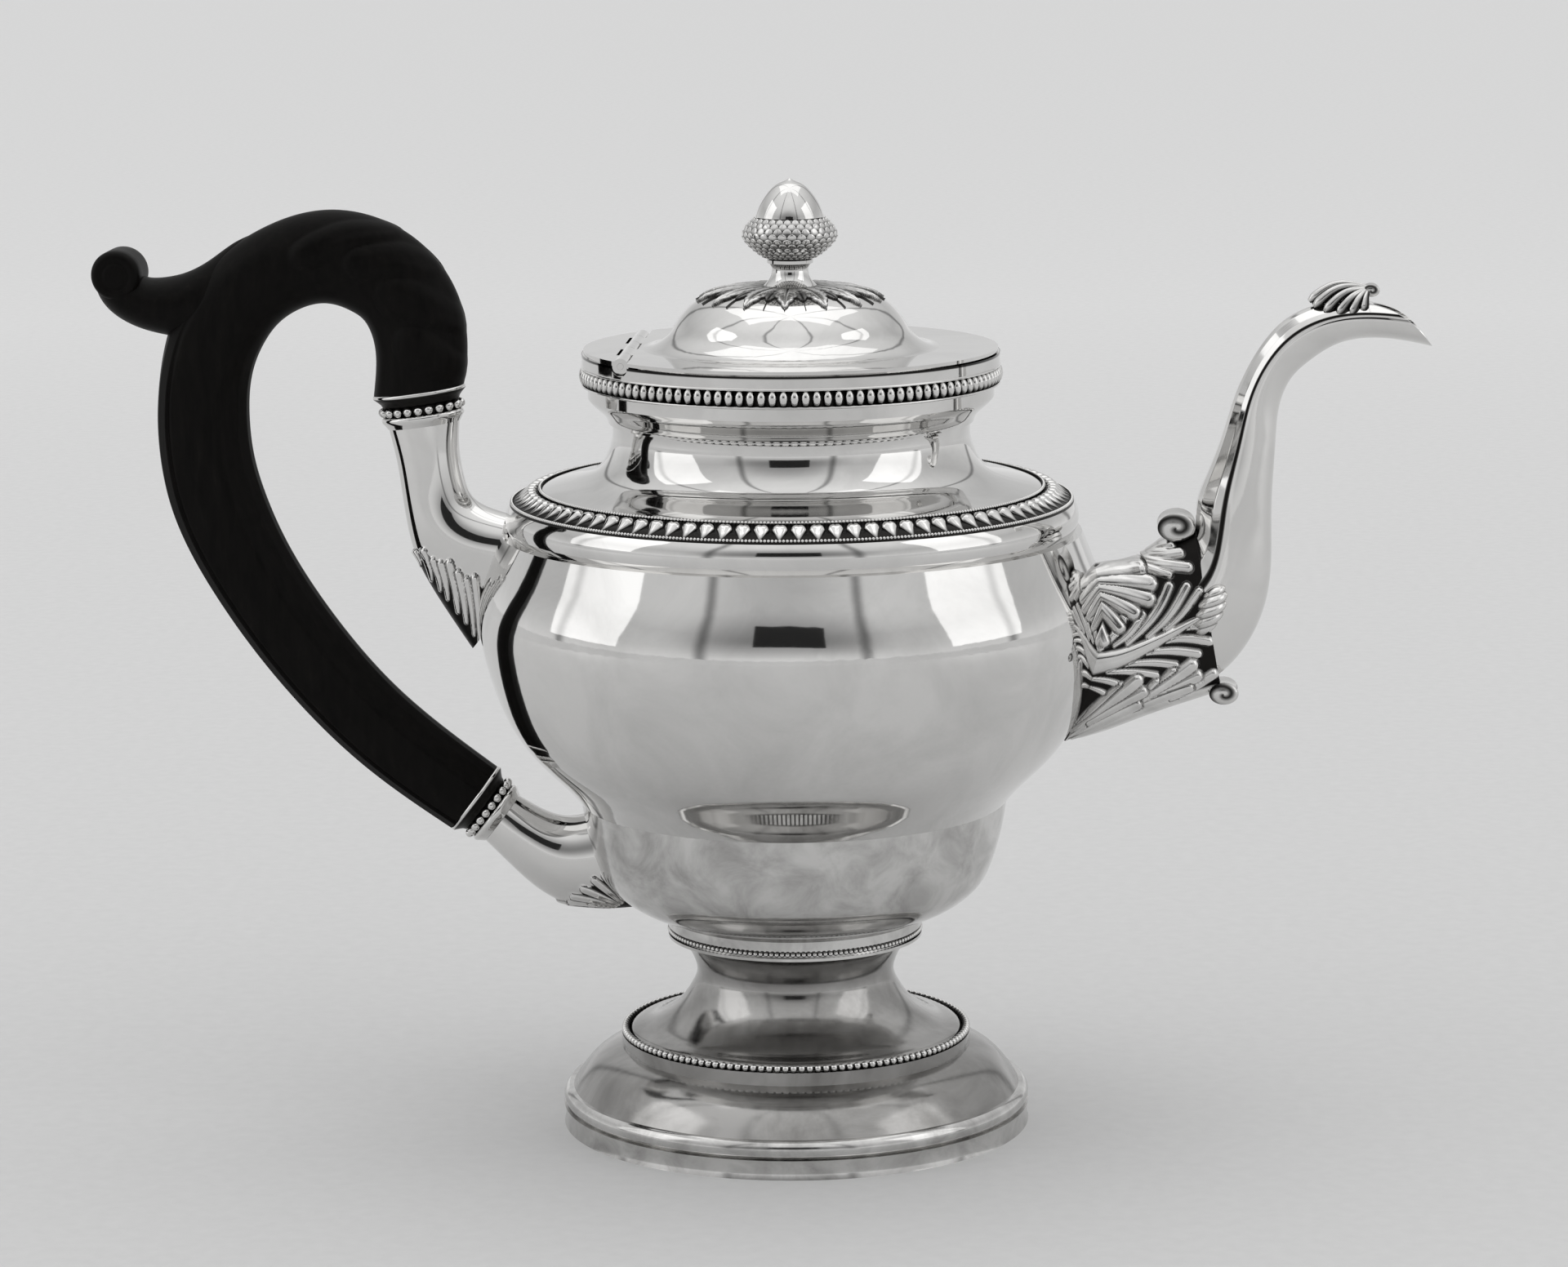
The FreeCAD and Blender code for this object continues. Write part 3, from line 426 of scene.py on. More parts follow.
def shoulder_band():
    """Sloping dark ground with a ring of tongues between two rows of tiny beads."""
    tongues, half, crown = 93, 1.86, 1.45
    root, reach, head = 0.95, 6.3, 0.66
    bead, inset, lift = 0.42, 0.45, 0.75
    sheets = Sheets()
    ground = [(BAND_OUT_R, Z_SEAT_OUT), (BAND_OUT_R, Z_SEAT_OUT + GROUND_T),
              (BAND_IN_R, Z_SEAT_IN + GROUND_T), (BAND_IN_R, Z_SEAT_IN)]
    sheets.add(lathe(ground), relief=np.zeros((len(ground), ROUND)))
    rise = np.array([BAND_IN_R - BAND_OUT_R, Z_SEAT_IN - Z_SEAT_OUT])
    rise /= np.linalg.norm(rise)
    along = np.linspace(0, 1, 18)[:, None]
    arc = np.linspace(0, math.pi, 13)[None]
    neck = 0.10 + 0.90 * (along / head) ** 1.15
    end = np.sqrt(np.maximum(0, 1 - ((along - head) / (1 - head)) ** 2))
    swell = np.where(along < head, neck, end)
    across = half * swell * np.cos(arc)
    heart = 0.35 * np.exp(-(across / 0.4) ** 2) * np.clip((along - 0.45) / 0.4, 0, 1)
    height = (crown * swell - heart) * np.sin(arc) * (0.55 + 0.45 * along / head).clip(0, 1)
    place = root + along * reach + 0 * arc
    out = BAND_OUT_R + rise[0] * place + rise[1] * height
    up = Z_SEAT_OUT + GROUND_T + rise[1] * place - rise[0] * height
    tongue = np.stack([out, across, up], 2)
    for i in range(tongues):
        turn = 2 * math.pi * i / tongues
        sheets.add(turned(tongue, turn), wrap_columns=False, relief=height / 0.9, flip=True)
    bead_row(sheets, BAND_IN_R + inset, Z_SEAT_IN + lift, 440, (bead, bead, bead), 6, 8)
    bead_row(sheets, BAND_OUT_R - inset, Z_SEAT_OUT + lift, 490, (bead, bead, bead), 6, 8)
    sheets.make("shoulder_tongues", bead_silver, "pot", "silver", ["shoulder_band"])


def rim_beads():
    """Upright egg beads between two fillets."""
    low, high, beads, segments = 183.8, 188.7, 122, 256
    fillet = [(47.9, 0.0), (50.7, 0.0), (50.9, 0.2), (50.9, 0.45), (50.75, 0.6), (49.6, 0.62)]
    ring = [(radius, low + up) for radius, up in fillet]
    ring += [(radius, high - up) for radius, up in reversed(fillet)]
    shade = np.array([1, 1, 1, 1, 0.9, 0.0])
    shade = np.concatenate([shade, shade[::-1]])
    sheets = Sheets().add(lathe(ring, segments), relief=np.repeat(shade[:, None], segments, 1))
    bead_row(sheets, 50.35, (low + high) / 2, beads, (1.05, 1.06, 1.78), 12, 14)
    sheets.make("rim_bead_row", bead_silver, "pot", "silver", ["rim_beads"])


def beaded_wires():
    """Rings of small beads on a dark core, at the foot and at the stem."""
    for node, radius, height, size, count in (("foot_bead_wire", 42.25, 23.25, 0.92, 136),
                                              ("stem_bead_wire", 30.92, 48.55, 0.62, 148)):
        thin = 0.55 * size
        turn = np.linspace(0, 2 * math.pi, 13)
        core = [(radius + thin * math.cos(t), height + thin * math.sin(t)) for t in turn]
        sheets = Sheets().add(lathe(core), relief=np.zeros((len(core), ROUND)))
        bead_row(sheets, radius, height, count, (size, size * 0.98, size), 8, 10)
        sheets.make(node + "_beads", bead_silver, "pot", "silver", [node])


# Finial and lid ornament
def finial_cup():
    """Acorn cup covered with rows of small overlapping scales."""
    scale_rows, scales, relief = 10, 30, 0.5
    low, wide, high = (5.6, Z_CUP), (11.7, Z_CUP + 0.57 * CUP_H), (8.8, Z_CUP + CUP_H)
    side = between(low, wide, [(0.20, 0.10), (0.66, 0.46)]) + between(wide, high, [(0.25, 0.47)])[1:]
    rows, columns = 200, 480
    grid = lathe(smooth(side, rows), columns)
    band = (np.linspace(0, 1, rows) * scale_rows)[:, None]
    turn = (np.arange(columns) / columns * scales)[None]
    height = np.zeros((rows, columns))
    for back in (1, 0):
        row = np.floor(band) - back
        reach = band - row
        aside = (turn + 0.5 * (row % 2)) % 1 - 0.5
        inside = (reach < 1) | ((aside / 0.5) ** 2 + (reach - 1) ** 2 < 1)
        dome = reach / 2 * (1 - 0.9 * aside ** 2)
        height = np.maximum(height, np.where(inside, dome, 0))
    grid = grid - grid_normals(grid) * (relief * (1 - height))[..., None]
    sheets = Sheets().add(grid, relief=np.clip(1.7 * height - 0.55, 0, 1))
    top = Z_CUP + CUP_H - 0.1
    sheets.add(lathe([(8.6, top), (0.1, top)], 64))
    sheets.make("finial_scales", bead_silver, "lid", "silver", ["finial_cup"])


def dome_height(radius):
    """Height of the lid's outside at a radius."""
    edge = (36.0, Z_LID + LID_WALL)
    waist = (27.8, Z_LID + LID_WALL + 0.41 * LID_H)
    cove = between(edge, waist, [(0.37, 0.12), (0.66, 0.38), (0.88, 0.70)])
    dome = between(waist, (8.0, Z_CROWN), [(0.08, 0.26), (0.18, 0.50), (0.33, 0.72), (0.58, 0.91)])
    line = smooth(cove + dome[1:], 300)[::-1]
    return np.interp(radius, line[:, 0], line[:, 1])


def calyx():
    """Rosette of pointed leaves with cut edges lying on the lid's dome."""
    leaves, inner, outer = 14, 6.4, 22.4
    half, cuts, sunk = 3.7, 6.5, -0.25
    rows, columns = 150, leaves * 48
    radius = np.linspace(inner, outer + 0.4, rows)[:, None]
    turn = around(columns)[None]
    cell = (turn * leaves / (2 * math.pi)) % 1 - 0.5
    height = np.full((rows, columns), sunk)
    for shift, tip, lift in ((0.5, outer - 3.0, 0.55), (0.0, outer, 0.95)):
        aside = np.abs((cell + shift + 0.5) % 1 - 0.5) * 2 * math.pi / leaves * radius
        share = (radius - inner) / (tip - inner)
        width = half * np.sin(np.clip(share, 0, 1) ** 0.8 * math.pi * 0.86 + 0.42) ** 0.8
        width = width * (1 - 0.26 * ((share * cuts) % 1) ** 2) * (share < 1)
        across = np.clip(aside / np.maximum(width, 1e-3), 0, 1)
        vein = (share * cuts - across * 1.3) % 1 - 0.5
        swell = lift * (0.55 + 0.45 * share) * np.sqrt(1 - across ** 4)
        swell -= 0.35 * lift * np.exp(-(aside / 0.32) ** 2)
        swell -= 0.22 * lift * np.exp(-(vein / 0.16) ** 2) * across
        height = np.maximum(height, np.where(across < 1, swell, sunk))
    grid = np.stack([radius * np.cos(turn), radius * np.sin(turn), dome_height(radius) + 0 * turn], 2)
    grid = grid - grid_normals(grid) * height[..., None]
    sheets = Sheets().add(grid, relief=np.clip((height - 0.36) / 0.6, 0, 1), flip=True)
    sheets.make("lid_calyx", cast, "lid", "silver", ["calyx"])


# Outline of the body, where the mounts end
BOWL_FOOT, BOWL_EDGE, BELLY, SHOULDER = (30.6, 52.4), (52.2, 81.0), (76.6, 127.5), (70.6, 147.5)
BODY = (between(BOWL_FOOT, BOWL_EDGE, [(0.30, 0.06), (0.47, 0.125), (0.62, 0.21), (0.74, 0.31), (0.83, 0.45),
                                       (0.91, 0.64), (0.97, 0.84)])
        + between(BOWL_EDGE, BELLY, [(0.10, 0.065), (0.24, 0.14), (0.39, 0.215), (0.55, 0.31), (0.71, 0.44),
                                     (0.85, 0.61), (0.955, 0.80)])[1:]
        + between(BELLY, SHOULDER, [(0.20, 0.37), (0.56, 0.67)])[1:])
body_line = np.concatenate([smooth(BODY, 400), [(69.6, 147.6), (69.8, 151.2), (68.6, 154.9)]])


def clear_of_body(grid, sink=0.35):
    """How far each point lies outside the vessel, which a mount may enter by the sink."""
    radius = np.interp(grid[..., 2], body_line[:, 1], body_line[:, 0])
    return np.hypot(grid[..., 0], grid[..., 1]) - radius + sink


def cropped(grid, keep, count):
    """Rows of a grid spread again over the stretch of each column where keep is positive."""
    rows, columns = grid.shape[:2]
    out = np.empty((count, columns, 3))
    number = np.arange(rows, dtype=float)
    for j in range(columns):
        good = np.nonzero(keep[:, j] > 0)[0]
        first, last = float(good[0]), float(good[-1])
        if good[0] > 0:
            a, b = keep[good[0] - 1, j], keep[good[0], j]
            first -= b / (b - a)
        if good[-1] < rows - 1:
            a, b = keep[good[-1], j], keep[good[-1] + 1, j]
            last += a / (a - b)
        at = np.linspace(first, last, count)
        for k in range(3):
            out[:, j, k] = np.interp(at, number, grid[:, j, k])
    return out


def shrunk(rows, wall):
    """Sections set in by a wall."""
    rows = rows.copy()
    across = rows[:, 2:4] - rows[:, 0:2]
    across *= wall / np.linalg.norm(across, axis=1, keepdims=True)
    rows[:, 0:2] += across
    rows[:, 2:4] -= across
    rows[:, 4] -= wall
    return rows


def profile(points):
    """Cross-section from points of reach and width, from the upper end to the lower end."""
    shape = np.asarray(points, float)
    length = lengths(shape)
    length /= length[-1]

    def outline(angle):
        near = angle <= math.pi
        share = np.where(near, angle, 2 * math.pi - angle) / math.pi
        side = np.where(near, 1, -1)
        return np.interp(share, length, shape[:, 0]), side * np.interp(share, length, shape[:, 1])
    return outline


def arc_points(start, stop, count):
    """Points of reach and width on a unit circle."""
    return [(math.cos(a), math.sin(a)) for a in np.linspace(start, stop, count)]


# Spout
def spout_at(out, up):
    """Point in XZ from its place beside the spout's root."""
    return (76.6 + out, 118.0 + up)


SPOUT = [(spout_at(*upper), spout_at(*lower), half) for upper, lower, half in [
    ((-12.0, 19.0), (-18.0, -20.0), 11.6), ((7.4, 21.0), (9.4, -14.0), 10.8),
    ((20.4, 28.5), (30.4, -3.0), 9.6), ((21.6, 35.5), (38.7, 12.8), 8.6),
    ((23.7, 42.6), (39.8, 34.0), 7.7), ((28.0, 54.0), (40.6, 51.5), 6.3),
    ((30.9, 63.3), (41.4, 60.0), 5.6), ((34.9, 71.8), (43.9, 66.4), 5.3),
    ((41.9, 80.5), (48.7, 71.2), 5.4), ((51.4, 85.0), (55.2, 75.2), 5.8),
    ((64.4, 86.0), (65.9, 76.6), 6.2), ((79.4, 84.0), (79.6, 74.2), 5.4)]]
SLEEVE = [(spout_at(*upper), spout_at(*lower), half) for upper, lower, half in [
    ((-11.0, 21.5), (-18.5, -23.8), 14.2), ((-2.6, 22.0), (-5.6, -21.6), 14.0),
    ((6.9, 23.2), (9.0, -16.3), 12.8), ((14.4, 28.0), (19.4, -12.6), 11.6),
    ((20.9, 31.5), (27.9, -9.5), 10.9)]]
MOUTH_BOW = smooth([(136.0, 203.6), (146.6, 200.6), (154.6, 192.6)], 60)


def below_mouth(grid):
    """How far each point lies below the bowed cut of the spout's mouth."""
    bow = np.interp(grid[..., 0], MOUTH_BOW[:, 0], MOUTH_BOW[:, 1], left=400.0, right=0.0)
    return bow - grid[..., 2]


def spout():
    """Swan-neck tube, flatter along its inner side, with a sunk line on each flank painted dark as a painted
    reflection, and an open bowed mouth.
    """
    columns, wall, groove = 256, 1.2, 0.36
    section = profile([(1.0, 0.0), (0.985, 0.22), (0.90, 0.46), (0.62, 0.80), (0.40, 0.97), (groove, 0.93),
                       (0.31, 0.98)] + arc_points(math.acos(0.2), math.pi, 24))
    rows = sections(SPOUT, 300)
    outside = swept(rows, columns, section)
    outside = cropped(outside, np.minimum(clear_of_body(outside), below_mouth(outside)), 260)
    inside = swept(shrunk(rows, wall), columns, section)
    inside = cropped(inside, np.minimum(clear_of_body(inside), below_mouth(inside)), 160)
    lip = np.stack([outside[-1], (outside[-1] + inside[-1]) / 2, inside[-1]])
    reach, _ = section(around(columns))
    # painted reflection: the sunk line on each flank is painted dark
    line = np.clip((np.abs(reach - groove) - 0.05) / 0.06, 0, 1)
    sheets = Sheets().add(outside, relief=line[None] + np.zeros((len(outside), 1)))
    sheets.add(inside, flip=True).add(lip)
    sheets.make("spout_tube", cast_smooth, "pot", "silver", ["spout"])


def sleeve_leaves():
    """Acanthus of the spout's socket in side view, from the lowest leaf to the one on top."""
    above = [([(75.0, 120.6), (78.6, 124.2), (80.8, 128.0)], 1.35),
             ([(78.4, 121.4), (82.8, 125.0), (85.2, 128.8)], 1.3),
             ([(81.6, 121.8), (87.0, 127.2), (90.0, 131.8), (91.6, 135.4)], 1.6),
             ([(86.4, 123.4), (91.6, 128.4), (94.4, 132.8), (95.8, 135.4)], 1.5),
             ([(90.6, 125.0), (94.9, 128.9), (97.4, 132.4), (98.8, 134.4)], 1.25)]
    below = [([(94.6, 125.2), (98.8, 125.6), (102.6, 124.8)], 1.1),
             ([(89.4, 122.2), (95.2, 122.8), (101.2, 122.0)], 1.5),
             ([(85.0, 119.4), (91.5, 119.8), (98.6, 119.0)], 1.45),
             ([(80.4, 116.7), (86.9, 117.0), (93.2, 116.3)], 1.3),
             ([(76.8, 114.8), (83.0, 114.8), (88.6, 113.9)], 1.15),
             ([(73.2, 113.2), (77.3, 112.5), (79.8, 111.6)], 1.15),
             ([(72.8, 111.0), (75.2, 110.0), (76.6, 109.2)], 1.0)]
    palm_rib = [(72.6, 116.9), (79.6, 118.3), (86.0, 121.0), (91.3, 123.7), (99.4, 128.3)]
    lower_rib = [(65.6, 94.8), (80.4, 101.4), (91.6, 105.8), (103.4, 109.4)]
    lower_curl = [(92.0, 107.2), (97.4, 110.2), (102.4, 113.6)]
    lower = [([(79.0, 103.4), (84.6, 107.6), (88.8, 112.0)], 1.7),
             ([(81.0, 104.4), (88.0, 109.4), (92.8, 114.6)], 1.9),
             ([(75.0, 101.4), (85.6, 107.2), (97.2, 116.2)], 2.2),
             ([(86.0, 106.8), (93.0, 110.4), (98.6, 113.4)], 1.8),
             ([(82.0, 104.4), (90.6, 108.2), (96.6, 110.6)], 1.6),
             ([(66.8, 97.6), (72.0, 103.4), (76.4, 107.6)], 2.0),
             ([(68.0, 98.6), (75.0, 106.2), (80.4, 110.8)], 2.1),
             ([(66.6, 97.4), (75.4, 105.0), (84.0, 112.8)], 2.2),
             ([(72.0, 101.8), (79.8, 106.4), (85.4, 109.8)], 1.8),
             ([(68.0, 97.6), (77.0, 102.6), (84.0, 106.6)], 1.6)]
    upper_rib = [(72.6, 141.0), (78.6, 141.8), (84.2, 143.3), (88.1, 145.4), (91.8, 148.2)]
    upper = [stroke([(75.0, 140.4), (84.2, 142.2), (92.2, 144.6)], 1.35, 1.6),
             stroke([(75.4, 140.2), (85.0, 141.5), (94.4, 143.0)], 1.45, 1.6),
             stroke([(76.0, 140.0), (85.0, 140.4), (96.2, 139.8)], 1.75, 1.7),
             stroke([(77.0, 139.8), (84.0, 139.4), (91.8, 138.0)], 1.2, 1.6)]
    tips = [((71.6, 130.6), (72.8, 120.2), 1.7), ((72.2, 131.8), (76.0, 122.4), 1.9),
            ((72.6, 133.0), (79.6, 125.8), 2.1), ((72.8, 134.0), (83.2, 129.2), 2.3),
            ((72.8, 135.2), (86.6, 132.4), 2.4), ((72.8, 136.4), (87.0, 136.0), 2.4),
            ((72.8, 137.4), (84.8, 139.2), 2.2)]
    return (lobes(above + below, 1.25)
            + [[stroke(palm_rib, 1.7, 1.7, 0.0)], [stroke(lower_rib, 1.7, 1.2, 0.6)]]
            + [[stroke(lower_curl, 1.6, 1.5)]]
            + lobes(lower, 1.85)
            + [[stroke(upper_rib, 1.6, 1.5, 0.7)], upper]
            + fan(tips, 1.5, (0.0, 0.4)))


def curl(sheets, x, z, radius):
    """Ribbed roll at the end of the palm leaf, on both sides of the spout."""
    flank, ridges = 8.6, 2.5
    rise = np.linspace(-1, 1, 61)[:, None]
    turn = np.linspace(0, math.pi, 25)[None]
    ribs = 0.86 + 0.14 * np.abs(np.cos(rise * ridges * math.pi))
    swell = np.sqrt(np.maximum(0, 1 - rise ** 2)) * ribs
    across = 0.72 * radius * swell * np.cos(turn)
    out = flank + 0.75 * radius * swell * np.sin(turn)
    up = 1.1 * radius * rise + 0.3 * across
    for side in (-1, 1):
        grid = np.stack([x + across + 0.25 * radius * rise, side * out, z + up], 2)
        sheets.add(grid, wrap_columns=False, relief=(ribs - 0.84) / 0.12 + 0 * turn, flip=side > 0)


def scroll(sheets, x, z, radius, half):
    """Rolled end lying across the mount, waisted between two rounded faces with a spiral on each."""
    rounding, face_from = 0.72, 0.76
    share = np.sin(np.linspace(-0.5, 0.5, 49) * math.pi)
    ends = np.clip((np.abs(share) - rounding) / (1 - rounding), 0, 1)
    swell = radius * (0.80 + 0.20 * np.abs(share) ** 1.5) * np.sqrt(np.maximum(0, 1 - ends ** 2))
    turn = around(48)
    grid = np.stack([x + 1.25 * swell[:, None] * np.cos(turn), (half * share)[:, None] + 0 * turn,
                     z + 0.95 * swell[:, None] * np.sin(turn)], 2)
    # painted shadow: the lower side of the roll is darker
    shade = np.clip(0.6 + 0.9 * np.sin(turn - 0.3), 0, 1)[None] + 0 * share[:, None]
    spiral = 0.5 + 0.5 * np.cos(turn[None] - 7.0 * (swell / radius)[:, None])
    face = (np.abs(share) > face_from)[:, None]
    sheets.add(grid, relief=np.where(face, 0.7 * spiral, 0.9 * shade))


def spout_socket():
    """Sleeve at the spout's root under raised leaves, with its rolled ends."""
    columns, leaf_room = 420, 0.9
    base = swept(shrunk(sections(SLEEVE, 260), leaf_room), columns)
    base = cropped(base, clear_of_body(base), 280)
    height, tone = raised(base[..., (0, 2)], sleeve_leaves())
    grid = base + grid_normals(base) * height[..., None]
    edge = base[-1]
    collar = np.stack([grid[-1], edge, edge + (edge.mean(0) - edge) * 0.25])
    sheets = Sheets().add(grid, relief=tone)
    sheets.add(collar, relief=np.zeros((len(collar), columns)))
    scroll(sheets, 93.4, 149.0, 4.0, 5.8)
    scroll(sheets, 105.1, 108.1, 3.1, 5.6)
    curl(sheets, 101.4, 129.6, 5.8)
    sheets.make("spout_acanthus", cast, "pot", "silver", ["spout_socket"])


def spout_shell():
    """Scallop above the mouth: ribs that sweep from a small scroll and spread towards the vessel."""
    steps, hinge = 26, (139.2, 0.8, 206.8)
    ribs = [((131.5, 0.0, 207.6), (124.9, 0.0, 203.4)), ((132.0, 2.2, 206.9), (126.0, 2.4, 202.3)),
            ((133.4, 3.5, 205.9), (128.5, 4.0, 201.4)), ((135.0, 4.2, 205.0), (131.6, 4.9, 200.9)),
            ((136.6, 4.2, 204.7), (134.8, 5.2, 201.0)), ((138.2, 3.6, 204.8), (137.8, 4.8, 202.0))]
    sheets = Sheets()
    turn = around(16)
    place = np.linspace(0, 1, steps)
    size = (0.45 + 0.85 * place) * np.sqrt(np.clip((1.02 - place) / 0.12, 0, 1))
    # painted shade: each rib is darker on its lower, inner side
    shade = np.clip(1.3 * np.sin(turn) - 0.25, 0, 1)[None] + 0 * size[:, None]
    for side in (-1, 1):
        for middle, end in ribs[(side > 0):]:
            spine = smooth(np.array([hinge, middle, end]) * (1, side, 1), steps)
            along = np.gradient(spine, axis=0)
            along /= np.linalg.norm(along, axis=1, keepdims=True)
            out = np.cross((0, 1.0, 0), along) + np.array([0, 0.7 * side, 0])
            out /= np.linalg.norm(out, axis=1, keepdims=True)
            across = np.cross(along, out)
            ring = across[:, None] * np.cos(turn)[:, None] + out[:, None] * np.sin(turn)[:, None]
            sheets.add(spine[:, None] + size[:, None, None] * ring, relief=shade)
    scroll(sheets, 139.7, 206.2, 1.7, 2.6)
    sheets.make("spout_scallop", cast, "pot", "silver", ["spout_shell"])


# Handle
def handle_at(out, up):
    """Point in XZ from its place beside the handle's upper end."""
    return (-90.85 - out, 182.0 + up)


def ferrule_frame(start, end):
    """Seat centre, direction into the socket, direction across and half depth, all in XZ."""
    start, end = np.array(start), np.array(end)
    across = end - start
    depth = np.linalg.norm(across) / 2
    across /= 2 * depth
    return (start + end) / 2, np.array([-across[1], across[0]]), across, depth


UPPER = ferrule_frame(handle_at(-11.05, 1.5), handle_at(11.05, -1.5))
LOWER = ferrule_frame(handle_at(-17.45, -93.9), handle_at(-6.05, -108.8))
GRIP = [((10.3, 7.5), (-12.0, 8.0)), ((12.0, 15.5), (-10.6, 21.5)), ((15.5, 19.0), (-1.0, 36.0)),
        ((23.2, 21.2), (20.0, 44.0)), ((31.5, 18.3), (39.5, 38.5)), ((38.0, 11.0), (58.0, 21.5)),
        ((41.6, -1.0), (63.8, 0.5)), ((41.5, -12.0), (64.3, -10.0)), ((38.6, -25.0), (61.8, -28.0)),
        ((31.8, -40.7), (51.0, -51.0)), ((20.0, -58.8), (36.0, -72.0)), ((4.6, -76.2), (17.0, -91.8))]


def ring_at(mount, down, half_depth, half_width):
    """Section across a handle's end, so far into its socket."""
    seat, into, across, _ = mount
    middle = seat + into * down
    return tuple(middle - across * half_depth), tuple(middle + across * half_depth), half_width


def grip_lobes():
    """Carved leaf over the arch, in side view."""
    return lobes([([(-79.0, 187.0), (-85.5, 190.0), (-91.0, 193.5)], 6.2),
                  ([(-79.6, 199.0), (-87.5, 203.0), (-95.2, 205.2)], 6.0),
                  ([(-86.0, 212.5), (-94.5, 214.6), (-103.2, 213.4)], 5.4),
                  ([(-96.0, 221.0), (-107.0, 220.2), (-116.6, 215.6)], 4.6)], 1.15)


def grip():
    """Carved scroll of the handle: leaf over the arch, then a ridged section with a sunk line near its back."""
    steps, columns = 340, 200
    ridged_from, ridged_over = 0.34, 0.10
    first = ring_at(UPPER, 0, -UPPER[3], HANDLE_HALF)
    last = ring_at(LOWER, 0, LOWER[3], HANDLE_HALF)
    places = [(handle_at(*inner), handle_at(*outer), HANDLE_HALF) for inner, outer in GRIP]
    rows = sections([first] + places + [last], steps)
    ridged = profile([(1.0, 0.0), (0.97, 0.26), (0.80, 0.60), (0.44, 0.93), (0.36, 0.97), (-0.20, 0.97),
                      (-0.63, 0.88), (-0.69, 0.78), (-0.74, 0.84), (-0.93, 0.56), (-0.99, 0.22), (-1.0, 0.0)])
    blend = np.clip((np.linspace(0, 1, steps) - ridged_from) / ridged_over, 0, 1)[:, None, None]
    grid = swept(rows, columns) * (1 - blend) + swept(rows, columns, ridged) * blend
    height, _ = raised(grid[..., (0, 2)], grip_lobes(), 0.12)
    lift = grid_normals(grid)
    grid = grid + lift * (height * np.abs(lift[..., 1]) ** 0.7)[..., None]
    sheets = Sheets().add(grid)
    thumb(sheets)
    sheets.make("carved_handle", black_wood, "pot", "wood", ["handle"])


THUMB = [((-126.0, 221.6), (-123.0, 200.0), 3.6), ((-134.6, 218.4), (-131.0, 196.6), 5.2),
         ((-141.4, 213.8), (-139.6, 195.2), 6.6), ((-147.0, 210.9), (-146.8, 194.9), 7.2),
         ((-152.0, 209.7), (-154.0, 195.9), 7.4), ((-156.6, 209.6), (-161.6, 198.5), 7.3),
         ((-159.4, 210.8), (-167.6, 203.4), 7.1), ((-161.6, 211.6), (-169.4, 208.8), 6.8),
         ((-163.0, 211.4), (-168.0, 213.6), 6.2)]


def thumb(sheets):
    """Thumb scroll behind the grip: a tapering tail that rolls up, with an eye on each side."""
    columns, x, z = 72, -163.6, 210.6
    tail = swept(sections(THUMB, 120), columns)
    end = np.repeat(tail[-1].mean(0)[None, None], columns, 1)
    sheets.add(np.concatenate([tail, end]))
    face = [(0.05, 7.5), (2.0, 7.45), (2.9, 7.2), (3.3, 6.9), (3.7, 7.15), (4.4, 7.35), (5.2, 7.1), (5.8, 6.4),
            (6.05, 5.4), (6.05, 3.0)]
    roll = face + [(r, -y) for r, y in reversed(face)]
    grid = np.array([[(x + r * math.cos(t), y, z + r * math.sin(t)) for t in around(columns)] for r, y in roll])
    sheets.add(grid, flip=True)


def ferrule(name, mount, node):
    """Collar with a flared mouth, spaced beads in a dark channel and a plain lip."""
    columns, beads, bead, bead_at, sunk = 120, 20, 1.12, 0.51, 1.45
    stages = [(-0.02, -1.5), (0.0, 0.2), (0.05, 0.35), (0.10, 0.25), (0.20, -0.7), (0.28, -1.35),
              (0.34, -1.6), (0.37, -1.7), (0.39, -2.2), (0.63, -2.2), (0.65, -1.7), (0.68, -1.15),
              (0.74, -0.95), (0.80, -1.05), (0.87, -1.5), (1.0, -2.2)]
    seat, into, across, depth = mount
    rings = [ring_at(mount, share * FERRULE_H, depth + grow, HANDLE_HALF + grow) for share, grow in stages]
    rows = np.array([[*start, *end, half] for start, end, half in rings])
    # painted shade: the flare and the bead channel are painted dark
    shade = np.array([0.0 if 0.07 < share < 0.66 else 1.0 for share, _ in stages])
    sheets = Sheets().add(swept(rows, columns), relief=np.repeat(shade[:, None], columns, 1))
    turn = np.linspace(0, 2 * math.pi, 721)
    reach, width = depth - sunk, HANDLE_HALF - sunk
    length = lengths(np.stack([reach * np.cos(turn), width * np.sin(turn)], 1))
    middle = seat + into * FERRULE_H * bead_at
    for i in range(beads):
        angle = np.interp(length[-1] * i / beads, length, turn)
        flat = middle + across * reach * math.cos(angle)
        centre = (flat[0], width * math.sin(angle), flat[1])
        sheets.add(ball(centre, (bead, bead, bead), 10, 14), flip=True)
    sheets.make(name, bead_silver, "pot", "silver", [node])


def socket(name, mount, places, leaf, ground, node):
    """Smooth cast socket with a leaf growing from the vessel, dark below the line of its ground."""
    inset = 2.4
    lip = ring_at(mount, FERRULE_H, mount[3] - inset, HANDLE_HALF - inset)
    base = swept(sections([lip] + places, 220), 180)
    base = cropped(base, clear_of_body(base), 200)
    height, tone = raised(base[..., (0, 2)], leaf, 0.15)
    grid = base + grid_normals(base) * height[..., None]
    under = np.interp(base[..., 0], *np.array(ground).T) - base[..., 2]
    relief = np.where(height > 0, tone ** 3, np.where(under > 0, 0, 1))
    Sheets().add(grid, relief=relief).make(name, cast_smooth, "pot", "silver", [node])


